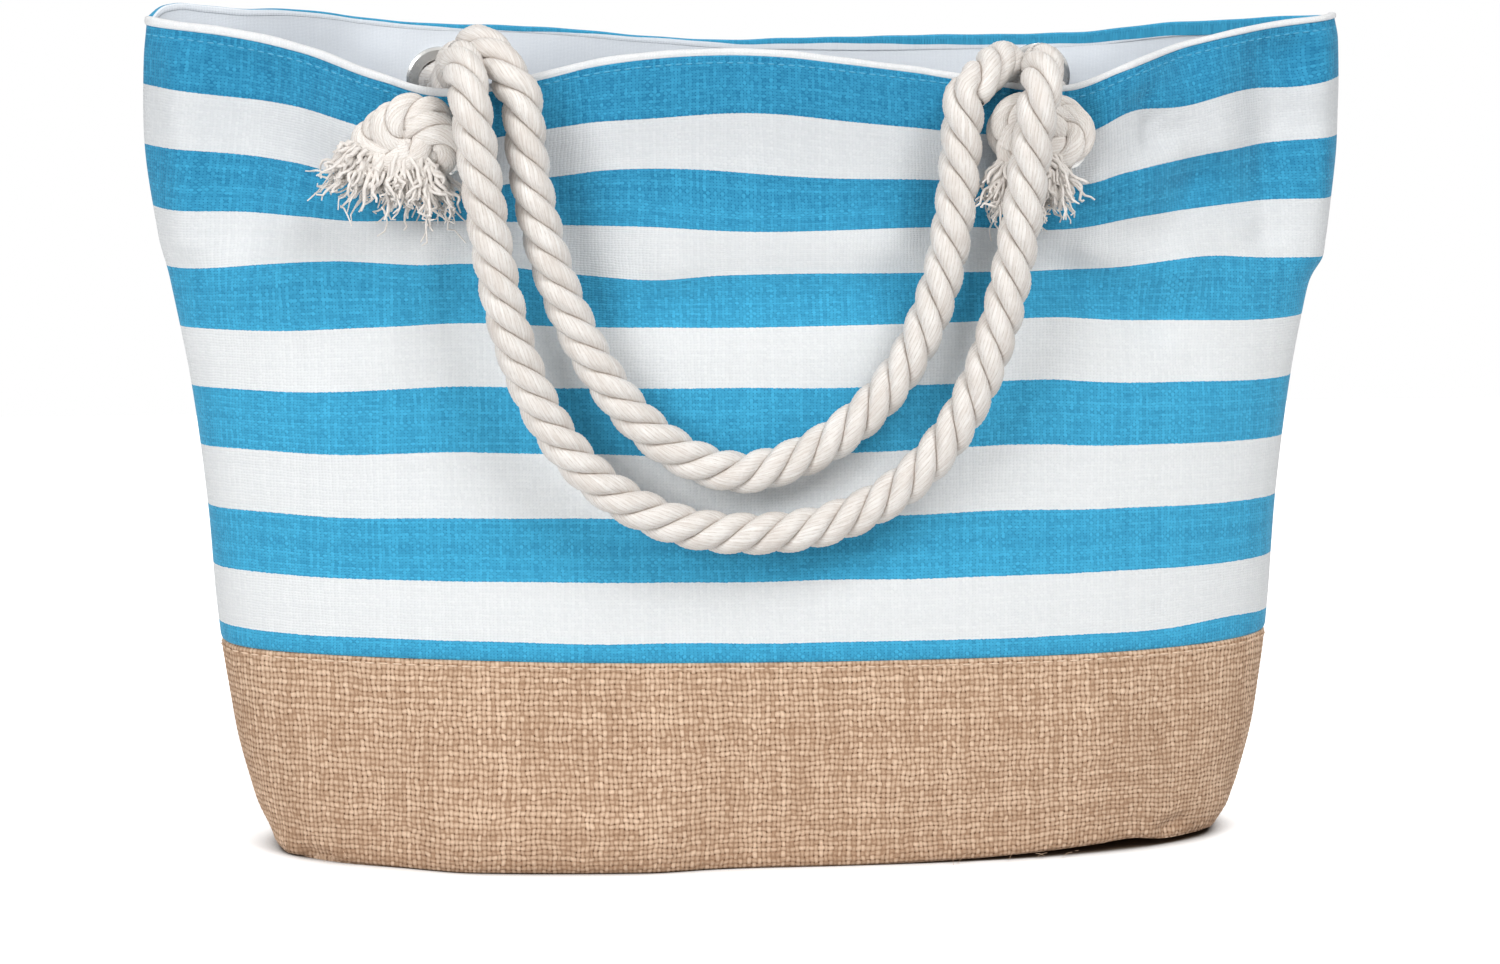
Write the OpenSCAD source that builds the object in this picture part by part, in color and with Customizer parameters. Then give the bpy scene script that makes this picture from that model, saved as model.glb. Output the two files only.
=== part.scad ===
// Beach tote of striped canvas on a jute foot, with two rope handles through metal eyelets.
// Millimetres, Z up. The front of the bag faces -Y and the middle of its base is the origin.

/* [Bag] */
// Width across the two corners of the mouth
mouth_w = 500; // [450:2:550]
// Opening of the mouth from front to back, in the middle
mouth_d = 71; // [64:1:84]
// Width of the base
base_w = 392; // [350:2:430]
// Depth of the base from front to back
base_d = 128; // [112:1:140]
// Height of the mouth's corners above the floor
bag_h = 352; // [320:1:390]
// Height of the seam between the jute and the canvas
jute_h = 87; // [60:1:110]
// How far the front rim dips at its eyelets
front_dip = 27; // [12:1:30]
// How far the back rim dips in the middle
back_dip = 12; // [4:1:18]

/* [Cloth] */
// Thickness of the canvas with its interlining
canvas_t = 1.6; // [1.2:0.1:2.4]
// Thickness of the jute cloth
jute_t = 1.8; // [1.2:0.1:2.6]
// Thickness of the lining
lining_t = 1; // [0.6:0.1:1.4]
// Air between the outer cloth and the lining
layer_gap = 0.3; // [0.2:0.1:0.6]
// Height of the turned edge along the rim
edge_h = 3; // [2:0.5:5]
// How far the turned edge stands proud of the cloth on each side
edge_proud = 0.4; // [0.2:0.1:0.8]

/* [Eyelets] */
// Distance of each eyelet from the middle of its panel
eyelet_x = 128; // [110:1:140]
// Distance of each eyelet's centre below the rim
eyelet_drop = 21; // [20:0.5:26]
// Width of an eyelet's flange beyond its barrel
flange_w = 4.6; // [3:0.2:6]
// Thickness of a flange
flange_t = 1.6; // [1:0.1:2.2]
// Thickness of an eyelet's barrel
barrel_t = 0.8; // [0.5:0.1:1.2]
// Air between the rope and the eyelet
bore_clear = 0.35; // [0.2:0.05:0.8]

/* [Rope] */
// Thickness of the laid rope
rope_d = 17.5; // [14:0.5:19]
// Half width of the front handle where it leaves the rim
front_half = 115; // [108:1:120]
// Hanging depth of the front handle below its bend
front_drop = 173; // [130:1:200]
// Half width of the back handle where it leaves the rim
back_half = 92; // [80:1:94]
// Hanging depth of the back handle below its bend
back_drop = 152; // [110:1:170]
// Thickness of a stopper knot, from the panel outwards
knot_t = 14; // [12:0.5:16]
// Length of a frayed end
fray_l = 28; // [15:1:40]

/* [Hidden] */
rope_r = rope_d / 2;
stack = canvas_t + layer_gap + lining_t;
bore_r = rope_r + bore_clear;
barrel_r = bore_r + barrel_t;
flange_r = barrel_r + flange_w;
// Clearance of the cloth's holes round the barrels
hole_clear = 0.25;
hole_r = barrel_r + hole_clear;
// Share of the mouth's opening that lies before the side seams
front_share = 0.535;
front_mouth = mouth_d * front_share;
back_mouth = mouth_d - front_mouth;
// Rope pushes the front panel out at its eyelets, and the back panel a little
front_eye_y = front_mouth + 5;
back_eye_y = back_mouth + 1;
front_eye_z = bag_h - front_dip - eyelet_drop;
back_eye_z = bag_h - 0.7 * back_dip - eyelet_drop;
// Cloth is flat round each eyelet this far, and eases into the panel over the next stretch
flat_r = flange_r + 18;
ease_r = 32;
cloth_top = bag_h - edge_h;
cols = 30;
jute_rows = 4;
canvas_steps = [0, 0.11, 0.22, 0.33, 0.44, 0.55, 0.66, 0.76, 0.84, 0.9, 0.95, 1];
jute_levels = [for (j = [0:jute_rows]) jute_t + (jute_h - jute_t) * j / jute_rows];
canvas_levels = [for (s = canvas_steps) jute_h + (cloth_top - jute_h) * s];
lining_base_z = jute_t + layer_gap;
lining_levels = concat(
    [lining_base_z + lining_t],
    [for (j = [1:jute_rows]) jute_levels[j]],
    [for (j = [1:len(canvas_steps) - 1]) canvas_levels[j]]);

// Routes of the two ropes
stub_out = 7.5;
stub_in = stack + 2.6;
turn_r = 13;
knot_clear = 0.75;
loop_steps = 12;
front_hang_y = front_eye_y + stub_out + knot_t + knot_clear + rope_r;
front_in_y = front_eye_y - stub_in - turn_r;
front_arch_y = (front_hang_y + front_in_y) / 2;
front_arch_a = (front_hang_y - front_in_y) / 2;
front_arch_z = front_eye_z + turn_r;
front_arch_h = rope_r + eyelet_drop - turn_r + 3.75;
front_shift = -2.5;
back_arch_z = front_eye_z + 18;
back_arch_h = rope_r + eyelet_drop - 18 + 10.25;
back_top_y = front_eye_y - 5;
back_hang_y = front_eye_y + rope_r + 9.25;
back_lean = 7;
back_shift = -6.5;
// Number of points in half a route, and the points where the rope bends when a handle is lifted
half_points = 14 + loop_steps - 1;
front_bend_from = 7;
back_bend_from = 2;
bend_to = 11;
tube_sides = 10;

function unit(v) = v / norm(v);
function mix(a, b, t) = a + (b - a) * t;
function ease(t) = let (c = min(max(t, 0), 1)) c * c * (3 - 2 * c);
function flip(list) = [for (i = [len(list) - 1:-1:0]) list[i]];

// Half width, half depth and squareness of the bag's plan at a level of the cloth
function level_share(s) = s / bag_h;
function half_w(s) = mix(base_w / 2, mouth_w / 2, lookup(level_share(s),
    [[0, 0], [0.085, 0.26], [0.17, 0.41], [0.256, 0.52], [0.426, 0.59], [0.568, 0.7],
    [0.71, 0.87], [0.85, 1.03], [0.93, 1.03], [1, 1]]));
function half_d(side, s) = mix(side < 0 ? front_mouth : back_mouth, base_d / 2, lookup(level_share(s),
    [[0, 1], [0.085, 1.08], [0.256, 0.92], [0.426, 0.73], [0.568, 0.54], [0.71, 0.35],
    [0.85, 0.15], [1, 0]]));
function squareness(s) = mix(2.6, 1.9, level_share(s));

// The rim dips where the ropes weigh on it, and the stripes below follow it less and less
function rim_dip(side, u) = side < 0
    ? front_dip * lookup(abs(u), [[0, 0.48], [0.18, 0.59], [0.36, 0.81], [0.49, 1], [0.53, 1],
        [0.62, 0.76], [0.75, 0.37], [0.86, 0.15], [1, 0]])
    : back_dip * lookup(abs(u), [[0, 1], [0.24, 0.92], [0.38, 0.75], [0.5, 0.7], [0.6, 0.5],
        [0.7, 0.4], [0.82, 0.1], [1, 0]]);
function dip_share(s) = lookup((cloth_top - s) / (cloth_top - jute_h),
    [[0, 1], [0.1, 0.8], [0.2, 0.6], [0.3, 0.3], [0.4, 0], [0.5, -0.2], [0.6, -0.16],
    [0.7, -0.12], [0.8, -0.05], [0.9, 0]]);

// A point of the cloth: side -1 is the front, angle runs round the plan from the right seam to the left,
// level is the height on the cloth and inset is the depth below the outer face
function cloth_point(side, angle, level, inset) =
    let (
        n = squareness(level),
        w = half_w(level) - inset,
        d = half_d(side, level) - inset,
        x = w * sign(cos(angle)) * pow(abs(cos(angle)), 2 / n),
        y = d * pow(abs(sin(angle)), 2 / n),
        z = level - rim_dip(side, x / w) * dip_share(level),
        eye_z = side < 0 ? front_eye_z : back_eye_z,
        eye_y = side < 0 ? front_eye_y : back_eye_y,
        away = norm([abs(x) - eyelet_x, z - eye_z]),
        flat = 1 - ease((away - flat_r) / ease_r))
    [x, side * mix(y, eye_y - inset, flat), z];

// A closed sheet between an outer and an inner grid of points, rows by columns
module sheet(outer, inner) {
    rows = len(outer) - 1;
    wide = len(outer[0]) - 1;
    per = wide + 1;
    all = (rows + 1) * per;
    points = concat([for (r = outer) each r], [for (r = inner) each r]);
    function at(j, i) = j * per + i;
    function quad(a, b, c, d) = [[a, b, c], [a, c, d]];
    faces = concat(
        [for (j = [0:rows - 1]) for (i = [0:wide - 1]) each
            quad(at(j, i), at(j + 1, i), at(j + 1, i + 1), at(j, i + 1))],
        [for (j = [0:rows - 1]) for (i = [0:wide - 1]) each
            quad(all + at(j, i), all + at(j, i + 1), all + at(j + 1, i + 1), all + at(j + 1, i))],
        [for (i = [0:wide - 1]) each quad(at(0, i), at(0, i + 1), all + at(0, i + 1), all + at(0, i))],
        [for (i = [0:wide - 1]) each
            quad(at(rows, i + 1), at(rows, i), all + at(rows, i), all + at(rows, i + 1))],
        [for (j = [0:rows - 1]) each quad(at(j + 1, 0), at(j, 0), all + at(j, 0), all + at(j + 1, 0))],
        [for (j = [0:rows - 1]) each
            quad(at(j, wide), at(j + 1, wide), all + at(j + 1, wide), all + at(j, wide))]);
    polyhedron(points, faces, convexity = 8);
}

function cloth_row(side, level, inset) =
    [for (i = [0:cols]) cloth_point(side, side < 0 ? 180 * i / cols : 180 - 180 * i / cols, level, inset)];

module cloth(side, levels, from, to) {
    sheet([for (s = levels) cloth_row(side, s, from)], [for (s = levels) cloth_row(side, s, to)]);
}

// Places children on the axis of an eyelet, whose outer side is +Z there
module at_eyelet(side, end) {
    eye_y = side < 0 ? front_eye_y : back_eye_y;
    eye_z = side < 0 ? front_eye_z : back_eye_z;
    translate([end * eyelet_x, side * eye_y, eye_z])
        rotate([side < 0 ? 90 : -90, 0, 0])
            children();
}

module eyelet_holes(side) {
    for (end = [-1, 1])
        at_eyelet(side, end)
            translate([0, 0, -stack - 10])
                cylinder(r = hole_r, h = stack + 20, $fn = 64);
}

module canvas(side) {
    color("deepskyblue")
        difference() {
            cloth(side, canvas_levels, 0, canvas_t);
            eyelet_holes(side);
        }
}

module jute(side) {
    color("burlywood")
        cloth(side, jute_levels, 0, jute_t);
}

function plan(level, inset) = [for (i = [0:2 * cols - 1])
    let (p = cloth_point(i < cols ? 1 : -1, 180 * i / cols, level, inset)) [p[0], p[1]]];

module jute_base() {
    color("peru")
        linear_extrude(jute_t)
            polygon(plan(jute_t, 0));
}

module lining(side) {
    color("gainsboro")
        difference() {
            cloth(side, lining_levels, canvas_t + layer_gap, stack);
            eyelet_holes(side);
        }
}

module base_lining() {
    color("gainsboro")
        translate([0, 0, lining_base_z])
            linear_extrude(lining_t)
                polygon(plan(lining_base_z + lining_t, jute_t + layer_gap));
}

// The turned edge sits on the tops of canvas and lining and follows the rim
function edge_row(side, inset, rise) =
    [for (p = cloth_row(side, cloth_top, inset)) p + [0, 0, rise]];

module rim_edge(side, tint) {
    color(tint)
        sheet(
            [edge_row(side, -edge_proud, 0), edge_row(side, -edge_proud, 0.6 * edge_h),
                edge_row(side, 0.4, edge_h)],
            [edge_row(side, stack + edge_proud, 0), edge_row(side, stack + edge_proud, 0.6 * edge_h),
                edge_row(side, stack - 0.4, edge_h)]);
}

module eyelet(side, end) {
    color("silver")
        at_eyelet(side, end)
            rotate_extrude($fn = 96)
                polygon([[bore_r, -stack - flange_t], [barrel_r, -stack - flange_t], [barrel_r, 0],
                    [flange_r, 0], [flange_r - 0.3, 0.6 * flange_t], [flange_r - 1.4, flange_t],
                    [barrel_r + 0.6, flange_t], [bore_r, 0.5 * flange_t]]);
}

module washer(side, end) {
    color("silver")
        at_eyelet(side, end)
            rotate_extrude($fn = 96)
                polygon([[barrel_r, -stack], [flange_r, -stack], [flange_r - 0.3, -stack - 0.6 * flange_t],
                    [flange_r - 1.4, -stack - flange_t], [barrel_r, -stack - flange_t]]);
}

// Half width of a hanging loop at a share of its depth, and the shares at which it has points
function loop_half(half, taper, p, q, d) = half * (1 - taper * d) * pow(1 - pow(d, p), q);
function loop_depth(k) = sin(90 * k / loop_steps);

// Half of the front handle: out of the knot, in through the eyelet, up and over the rim, and down
function front_route(end) =
    let (
        x0 = end * eyelet_x,
        x1 = front_shift + end * front_half,
        xm = mix(x0, x1, 0.8))
    concat(
        [[x0, -front_eye_y - stub_out, front_eye_z], [x0, -front_eye_y + stub_in, front_eye_z]],
        [for (k = [1:4]) let (a = 22.5 * k)
            [mix(x0, xm, k / 4), -front_in_y - turn_r * (1 - sin(a)), front_eye_z + turn_r * (1 - cos(a))]],
        [for (k = [1:8]) let (a = 22.5 * k)
            [mix(xm, x1, k / 8), -front_arch_y + front_arch_a * cos(a), front_arch_z + front_arch_h * sin(a)]],
        [for (k = [1:loop_steps - 1]) let (d = loop_depth(k))
            [front_shift + end * loop_half(front_half, 0.2, 4, 0.45, d), -front_hang_y,
                front_arch_z - front_drop * d]]);

// Half of the back handle: in through the back eyelet, across the mouth, over the front rim, and down
function curve(a, b, c, d, t) =
    a * pow(1 - t, 3) + b * 3 * pow(1 - t, 2) * t + c * 3 * (1 - t) * t * t + d * pow(t, 3);
function back_route(end) =
    let (
        x0 = end * eyelet_x,
        x1 = back_shift + end * back_half,
        xt = x1 + end * 3,
        top = back_arch_z + back_arch_h,
        inner = back_eye_y - stub_in - 4)
    concat(
        [[x0, back_eye_y + stub_out, back_eye_z], [x0, inner, back_eye_z]],
        [for (k = [1:8]) curve([x0, inner, back_eye_z], [x0, inner - 22, back_eye_z + 1],
            [xt, -back_top_y + 24, top], [xt, -back_top_y, top], k / 8)],
        [for (k = [1:4]) let (a = 22.5 * k)
            [mix(xt, x1, k / 4), -back_top_y - (back_hang_y - back_top_y) * sin(a),
                back_arch_z + back_arch_h * cos(a)]],
        [for (k = [1:loop_steps - 1]) let (d = loop_depth(k))
            [back_shift * (1 - d) + end * loop_half(back_half, 0.15, 3.5, 0.5, d),
                -back_hang_y - back_lean * d, back_arch_z - back_drop * d]]);

front_rope = concat(
    front_route(-1),
    [[front_shift, -front_hang_y, front_arch_z - front_drop]],
    flip(front_route(1)));
back_rope = concat(
    back_route(-1),
    [[0, -back_hang_y - back_lean, back_arch_z - back_drop]],
    flip(back_route(1)));
last_point = 2 * half_points;

// Directions along a route, and a side vector that follows it without twisting
function directions(path) = [for (i = [0:len(path) - 1])
    unit(path[min(i + 1, len(path) - 1)] - path[max(i - 1, 0)])];
function side_vectors(dirs) = [
    for (i = 0, v = unit(cross(dirs[0], [0, 0, 1])); i < len(dirs);
        i = i + 1, v = i < len(dirs) ? unit(v - (v * dirs[i]) * dirs[i]) : v) v];

// A closed tube along part of a route, with the same end faces as its neighbours
module tube(path, from, to) {
    dirs = directions(path);
    sides = side_vectors(dirs);
    rings = to - from;
    points = concat(
        [for (i = [from:to]) for (k = [0:tube_sides - 1])
            path[i] + rope_r * (cos(360 * k / tube_sides) * sides[i]
                + sin(360 * k / tube_sides) * cross(dirs[i], sides[i]))],
        [path[from], path[to]]);
    first = (rings + 1) * tube_sides;
    function at(j, k) = j * tube_sides + (k % tube_sides);
    faces = concat(
        [for (j = [0:rings - 1]) for (k = [0:tube_sides - 1]) each
            [[at(j, k), at(j + 1, k), at(j + 1, k + 1)], [at(j, k), at(j + 1, k + 1), at(j, k + 1)]]],
        [for (k = [0:tube_sides - 1]) [first, at(0, k), at(0, k + 1)]],
        [for (k = [0:tube_sides - 1]) [first + 1, at(rings, k + 1), at(rings, k)]]);
    polyhedron(points, faces, convexity = 6);
}

module rope(path, from, to) {
    color("linen")
        tube(path, from, to);
}

// How far a knot lies to one side of its eyelet
function knot_shift(side, end) = side < 0 ? (end < 0 ? -15 : -7) : end * 12;
knot_r = knot_t / 2;

// A stopper knot: two crossing turns of rope and the neck that comes out of the eyelet
module knot_body(side, end) {
    shift = knot_shift(side, end);
    at_eyelet(side, end)
        union() {
            translate([0, 0, stub_out])
                cylinder(r = rope_r - 0.4, h = knot_r + 2, $fn = 48);
            translate([shift, side * -5, stub_out + knot_r])
                rotate_extrude($fn = 64)
                    translate([10.5, 0])
                        circle(r = knot_r, $fn = 32);
            translate([shift * 0.45, side * 5.5, stub_out + knot_r])
                rotate_extrude($fn = 64)
                    translate([9, 0])
                        circle(r = knot_r - 0.3, $fn = 32);
        }
}

module knot(side, end) {
    color("antiquewhite")
        knot_body(side, end);
}

// A frayed end hangs out of its knot and widens downwards
module fray(side, end) {
    shift = knot_shift(side, end);
    color("cornsilk")
        difference() {
            at_eyelet(side, end)
                translate([shift * 0.8, side * 12, stub_out + knot_r])
                    rotate([side * -90, sign(shift) * 22, 0])
                        cylinder(r1 = 5.5, r2 = 8.5, h = fray_l + 12, $fn = 40);
            knot_body(side, end);
        }
}

canvas(-1);  // front_canvas
canvas(1);  // back_canvas
jute(-1);  // front_jute
jute(1);  // back_jute
jute_base();
lining(-1);  // front_lining
lining(1);  // back_lining
base_lining();
rim_edge(-1, "white");  // front_rim_edge
rim_edge(1, "steelblue");  // back_rim_edge
eyelet(-1, -1);  // front_left_eyelet
eyelet(-1, 1);  // front_right_eyelet
eyelet(1, -1);  // back_left_eyelet
eyelet(1, 1);  // back_right_eyelet
washer(-1, -1);  // front_left_washer
washer(-1, 1);  // front_right_washer
washer(1, -1);  // back_left_washer
washer(1, 1);  // back_right_washer
rope(front_rope, 0, front_bend_from);  // front_left_rope_end
rope(front_rope, last_point - front_bend_from, last_point);  // front_right_rope_end
rope(back_rope, 0, back_bend_from);  // back_left_rope_end
rope(back_rope, last_point - back_bend_from, last_point);  // back_right_rope_end
rope(front_rope, front_bend_from, bend_to);  // front_left_rope_bend
rope(front_rope, last_point - bend_to, last_point - front_bend_from);  // front_right_rope_bend
rope(back_rope, back_bend_from, bend_to);  // back_left_rope_span
rope(back_rope, last_point - bend_to, last_point - back_bend_from);  // back_right_rope_span
rope(front_rope, bend_to, last_point - bend_to);  // front_rope_loop
rope(back_rope, bend_to, last_point - bend_to);  // back_rope_loop
knot(-1, -1);  // front_left_knot
knot(-1, 1);  // front_right_knot
knot(1, -1);  // back_left_knot
knot(1, 1);  // back_right_knot
fray(-1, -1);  // front_left_fray
fray(-1, 1);  // front_right_fray
fray(1, -1);  // back_left_fray
fray(1, 1);  // back_right_fray
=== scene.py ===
"""Dresses the CAD frame of a beach tote: striped canvas, jute foot, lining and two laid rope handles."""

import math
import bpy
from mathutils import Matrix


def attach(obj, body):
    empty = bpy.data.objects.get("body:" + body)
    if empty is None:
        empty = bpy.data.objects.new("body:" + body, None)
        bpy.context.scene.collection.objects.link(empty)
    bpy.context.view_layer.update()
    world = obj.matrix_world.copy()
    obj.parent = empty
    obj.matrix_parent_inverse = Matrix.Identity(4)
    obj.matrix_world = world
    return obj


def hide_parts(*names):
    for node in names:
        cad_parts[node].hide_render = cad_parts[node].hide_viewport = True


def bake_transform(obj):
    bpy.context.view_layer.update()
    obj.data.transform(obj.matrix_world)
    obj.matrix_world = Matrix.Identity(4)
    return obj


bl_info = {
    "name": "Striped Beach Tote",
    "version": (1, 0, 0),
    "blender": (4, 5, 0),
    "location": "View3D > Sidebar > Tote",
    "description": "Builds the cloth, ropes and stage of a striped beach tote around its CAD frame",
    "category": "Object",
}

import bpy
import numpy as np
from mathutils import Vector

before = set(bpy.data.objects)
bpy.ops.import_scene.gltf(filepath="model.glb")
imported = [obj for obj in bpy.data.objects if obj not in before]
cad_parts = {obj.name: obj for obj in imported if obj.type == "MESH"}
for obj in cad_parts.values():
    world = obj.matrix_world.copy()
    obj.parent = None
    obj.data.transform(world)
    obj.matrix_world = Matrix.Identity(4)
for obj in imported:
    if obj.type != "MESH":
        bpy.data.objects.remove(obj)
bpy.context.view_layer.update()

MM = 0.001
FRONT, BACK = -1, 1
LEFT, RIGHT = -1, 1
SIDE_NAMES = {FRONT: "front", BACK: "back"}
END_NAMES = {LEFT: "left", RIGHT: "right"}
SIDES, ENDS = (FRONT, BACK), (LEFT, RIGHT)
CORNERS = [(side, end) for side in SIDES for end in ENDS]

# Plan of the bag by height: share of the way from base to mouth in width, from mouth to base in depth
WIDTH_BY_HEIGHT = [
    (0, 0.045), (0.006, 0.065), (0.028, 0.16), (0.051, 0.235), (0.088, 0.31), (0.136, 0.392), (0.184, 0.447),
    (0.232, 0.497), (0.28, 0.532), (0.426, 0.6), (0.568, 0.71), (0.71, 0.88), (0.85, 1.03), (0.93, 1.03), (1, 1),
]
DEPTH_BY_HEIGHT = [
    (0, 1), (0.085, 1.08), (0.256, 0.92), (0.426, 0.73), (0.568, 0.54), (0.71, 0.35),
    (0.85, 0.15), (1, 0),
]
# Powers of the rounded plan, and how much wider the right of the foot is, up to a level
BASE_SQUARENESS, MOUTH_SQUARENESS = 2.6, 1.9
RIGHT_EASE, RIGHT_EASE_TOP = 0.011, 130 * MM

# Dip of each rim across its width, and the share of it that the cloth below still follows
RIM_DIP = {
    FRONT: [(-1, 0), (-0.86, 0.15), (-0.75, 0.37), (-0.62, 0.76), (-0.53, 1), (-0.49, 1),
            (-0.36, 0.76), (-0.24, 0.54), (-0.14, 0.44), (-0.05, 0.41), (0.05, 0.45), (0.14, 0.55),
            (0.24, 0.67), (0.36, 0.83), (0.49, 1), (0.53, 0.98), (0.62, 0.68), (0.75, 0.34),
            (0.86, 0.15), (1, 0)],
    BACK: [(-1, 0), (-0.985, -0.3), (-0.96, -0.46), (-0.91, -0.36), (-0.84, -0.2), (-0.775, -0.16),
           (-0.706, 0), (-0.637, 0.22), (-0.55, 0.41), (-0.38, 0.53), (-0.277, 0.68), (-0.2, 0.85),
           (-0.123, 0.97), (-0.02, 1.08), (0.083, 1.03), (0.2, 0.98), (0.34, 0.95), (0.546, 0.91),
           (0.614, 0.86), (0.683, 0.68), (0.752, 0.5), (0.82, 0.42), (0.89, 0.3), (0.957, 0.2), (1, 0.15)],
}
DIP_BY_DEPTH = [
    (0, 1), (0.1, 0.8), (0.2, 0.6), (0.3, 0.3), (0.4, 0), (0.5, -0.2), (0.6, -0.16),
    (0.7, -0.12), (0.8, -0.05), (0.9, 0), (1, 0),
]
# Rise of the seam between jute and canvas across each panel in millimetres, and its reach up and down
SEAM_RISE = {
    FRONT: [(-1, 3), (-0.8, 3), (-0.6, 2.4), (-0.35, 1.2), (-0.1, 0.5), (0.3, 0), (0.8, 0), (1, 1)],
    BACK: [(-1, 3), (-0.7, 0.6), (0, 0), (0.7, 0.3), (1, 1)],
}
SEAM_REACH = 35 * MM
# Lift of the front of the foot off the floor, by x, in millimetres, and how far up and back it reaches
FOOT_LIFT = [(-260, 0), (0, 0), (50, 0.2), (100, 1.5), (145, 4), (160, 5), (176, 3), (190, 3.4), (215, 5),
             (260, 5)]
FOOT_REACH, LIFT_DEPTH = 45 * MM, 40 * MM
# Height of the blue band that shows inside the back rim, by x, in millimetres
BLUE_BAND = [(-260, 0), (-215, 0), (-190, 0.7), (-140, 0.9), (-95, 2.2), (-70, 1.4), (-48, 0.7), (-15, 0.8),
             (0, 1.8), (45, 2.6), (80, 4), (140, 4.6), (180, 5.6), (205, 6), (225, 5), (245, 3.5), (260, 3)]
# Where the front hangs higher than its rim dips: x, level, half width, half height and rise, in millimetres
FRONT_LIFT = (-128, 262, 38, 22, 8.4)
# Share of the open mouth that lies in front of the middle
FRONT_SHARE = 0.535
# How far the eyelets push the cloth out, the share of the back dip at them, and the flat cloth round them
EYELET_PUSH = {FRONT: 5 * MM, BACK: 1 * MM}
BACK_EYELET_DIP = 0.7
FLAT_MARGIN, FLAT_EASE = 18 * MM, {FRONT: 32 * MM, BACK: 60 * MM}

# Soft folds of the canvas: from (x, level) to (x, level), half width and height, in millimetres
CANVAS_FOLDS = {
    FRONT: [
        ((146, 338), (142, 296), 7, 3.2), ((164, 330), (166, 312), 8, -5.4),
        ((171, 319), (174, 314), 8, -4.6), ((192, 330), (196, 306), 12, 4.4),
        ((219, 338), (220, 262), 10, -4.8), ((232, 337), (233, 331), 7, -4.4),
        ((242, 340), (241, 250), 8, 4.4), ((144, 259), (178, 247), 12, 3.8),
        ((126, 249), (168, 223), 12, -3.4), ((190, 286), (206, 276), 12, -3.6),
        ((232, 312), (236, 308), 10, -3.0), ((-70, 347), (70, 347), 46, 5.0),
        ((-236, 336), (-234, 262), 10, 4.6), ((-204, 334), (-208, 266), 13, -5.4),
        ((-164, 316), (-160, 298), 12, 2.4), ((-190, 248), (-140, 248), 22, 4.4),
        ((-98, 312), (-72, 236), 14, -5.2), ((-64, 318), (-36, 252), 14, 4.6),
        ((92, 300), (60, 246), 13, -3.4), ((-30, 268), (66, 262), 13, 2.4),
        ((-40, 238), (80, 240), 12, -2.0), ((-150, 272), (-182, 214), 12, -1.0),
        ((-128, 262), (-158, 206), 12, 1.8), ((158, 262), (186, 206), 12, -2.0),
        ((-190, 186), (-60, 172), 16, 1.0), ((60, 172), (190, 188), 16, 1.1),
        ((-60, 144), (120, 138), 18, -1.0), ((-200, 130), (-90, 118), 16, -0.9),
    ],
    BACK: [
        ((-150, 336), (-136, 262), 10, -1.5), ((150, 336), (134, 266), 10, -1.5),
        ((-172, 330), (-166, 250), 12, 1.4), ((176, 330), (168, 254), 12, 1.3),
        ((-90, 310), (-40, 240), 14, -1.2), ((92, 306), (44, 236), 14, -1.3),
        ((-60, 226), (70, 222), 16, 1.2), ((-215, 300), (-205, 190), 14, -1.0),
        ((214, 296), (206, 196), 14, 1.0), ((-160, 160), (120, 150), 18, 0.8),
    ],
}

# Tucks of the jute at the boxed corners, in the same form
JUTE_FOLDS = {
    FRONT: [((176, 5), (182, 7), 3.5, -2.4), ((198, 4), (202, 12), 6, 1.6),
            ((-195, 2), (-198, 5), 5, 2.2), ((-180, 2), (-187, 3), 3, -1.4),
            ((-118, 15), (-48, 15), 24, 8), ((-170, 70), (-150, 20), 14, -1.0),
            ((-120, 62), (-40, 54), 18, 1.0), ((60, 40), (150, 58), 20, 1.2),
            ((170, 66), (182, 24), 12, -1.2)],
    BACK: [((198, 4), (202, 12), 6, 1.6), ((-195, 2), (-198, 5), 5, 2.2),
           ((180, 4), (188, 4), 4, -1.6), ((-180, 4), (-188, 4), 4, -1.6), ((-110, 52), (90, 60), 22, 1.0)],
}

# Where the canvas is drawn up or sags in its plane: x, level, half width, half height and rise, in millimetres
CANVAS_DRAWN = {
    FRONT: [
        (10, 278, 60, 18, -5.5), (55, 320, 50, 16, -3.4), (155, 327, 14, 12, 3.3), (-182, 249, 34, 13, 5.2),
        (190, 253, 26, 16, 3.6), (-42, 249, 20, 10, -2.8), (-25, 208, 70, 22, 2), (-215, 165, 30, 50, 2.2),
        (232, 326, 18, 12, -3.2), (-225, 326, 25, 12, -1.8), (-60, 296, 30, 12, 1.2), (205, 96, 22, 14, 2),
        (-40, 325, 45, 14, -3.5), (25, 300, 55, 10, -2.8), (-5, 275, 35, 10, -2.8), (185, 327, 14, 10, -2),
    ],
    BACK: [
        (-20, 284, 60, 20, -4), (-170, 256, 34, 16, 3), (176, 262, 30, 16, 3.2), (90, 210, 60, 22, 2),
    ],
}

# Ends of the ropes: how far they stand out of their eyelets, and in past the lining
STUB_OUT, STUB_IN = 7.5 * MM, 2.6 * MM
# Each rope's arch over the front rim: height of its foot above the front eyelets, and its clearance at the top
ARCH_FOOT = {FRONT: 13 * MM, BACK: 18 * MM}
ARCH_CLEARANCE = {
    (FRONT, LEFT): 3.25 * MM, (FRONT, RIGHT): 0.4 * MM, (BACK, LEFT): 8.8 * MM, (BACK, RIGHT): 0.6 * MM,
}
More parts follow.
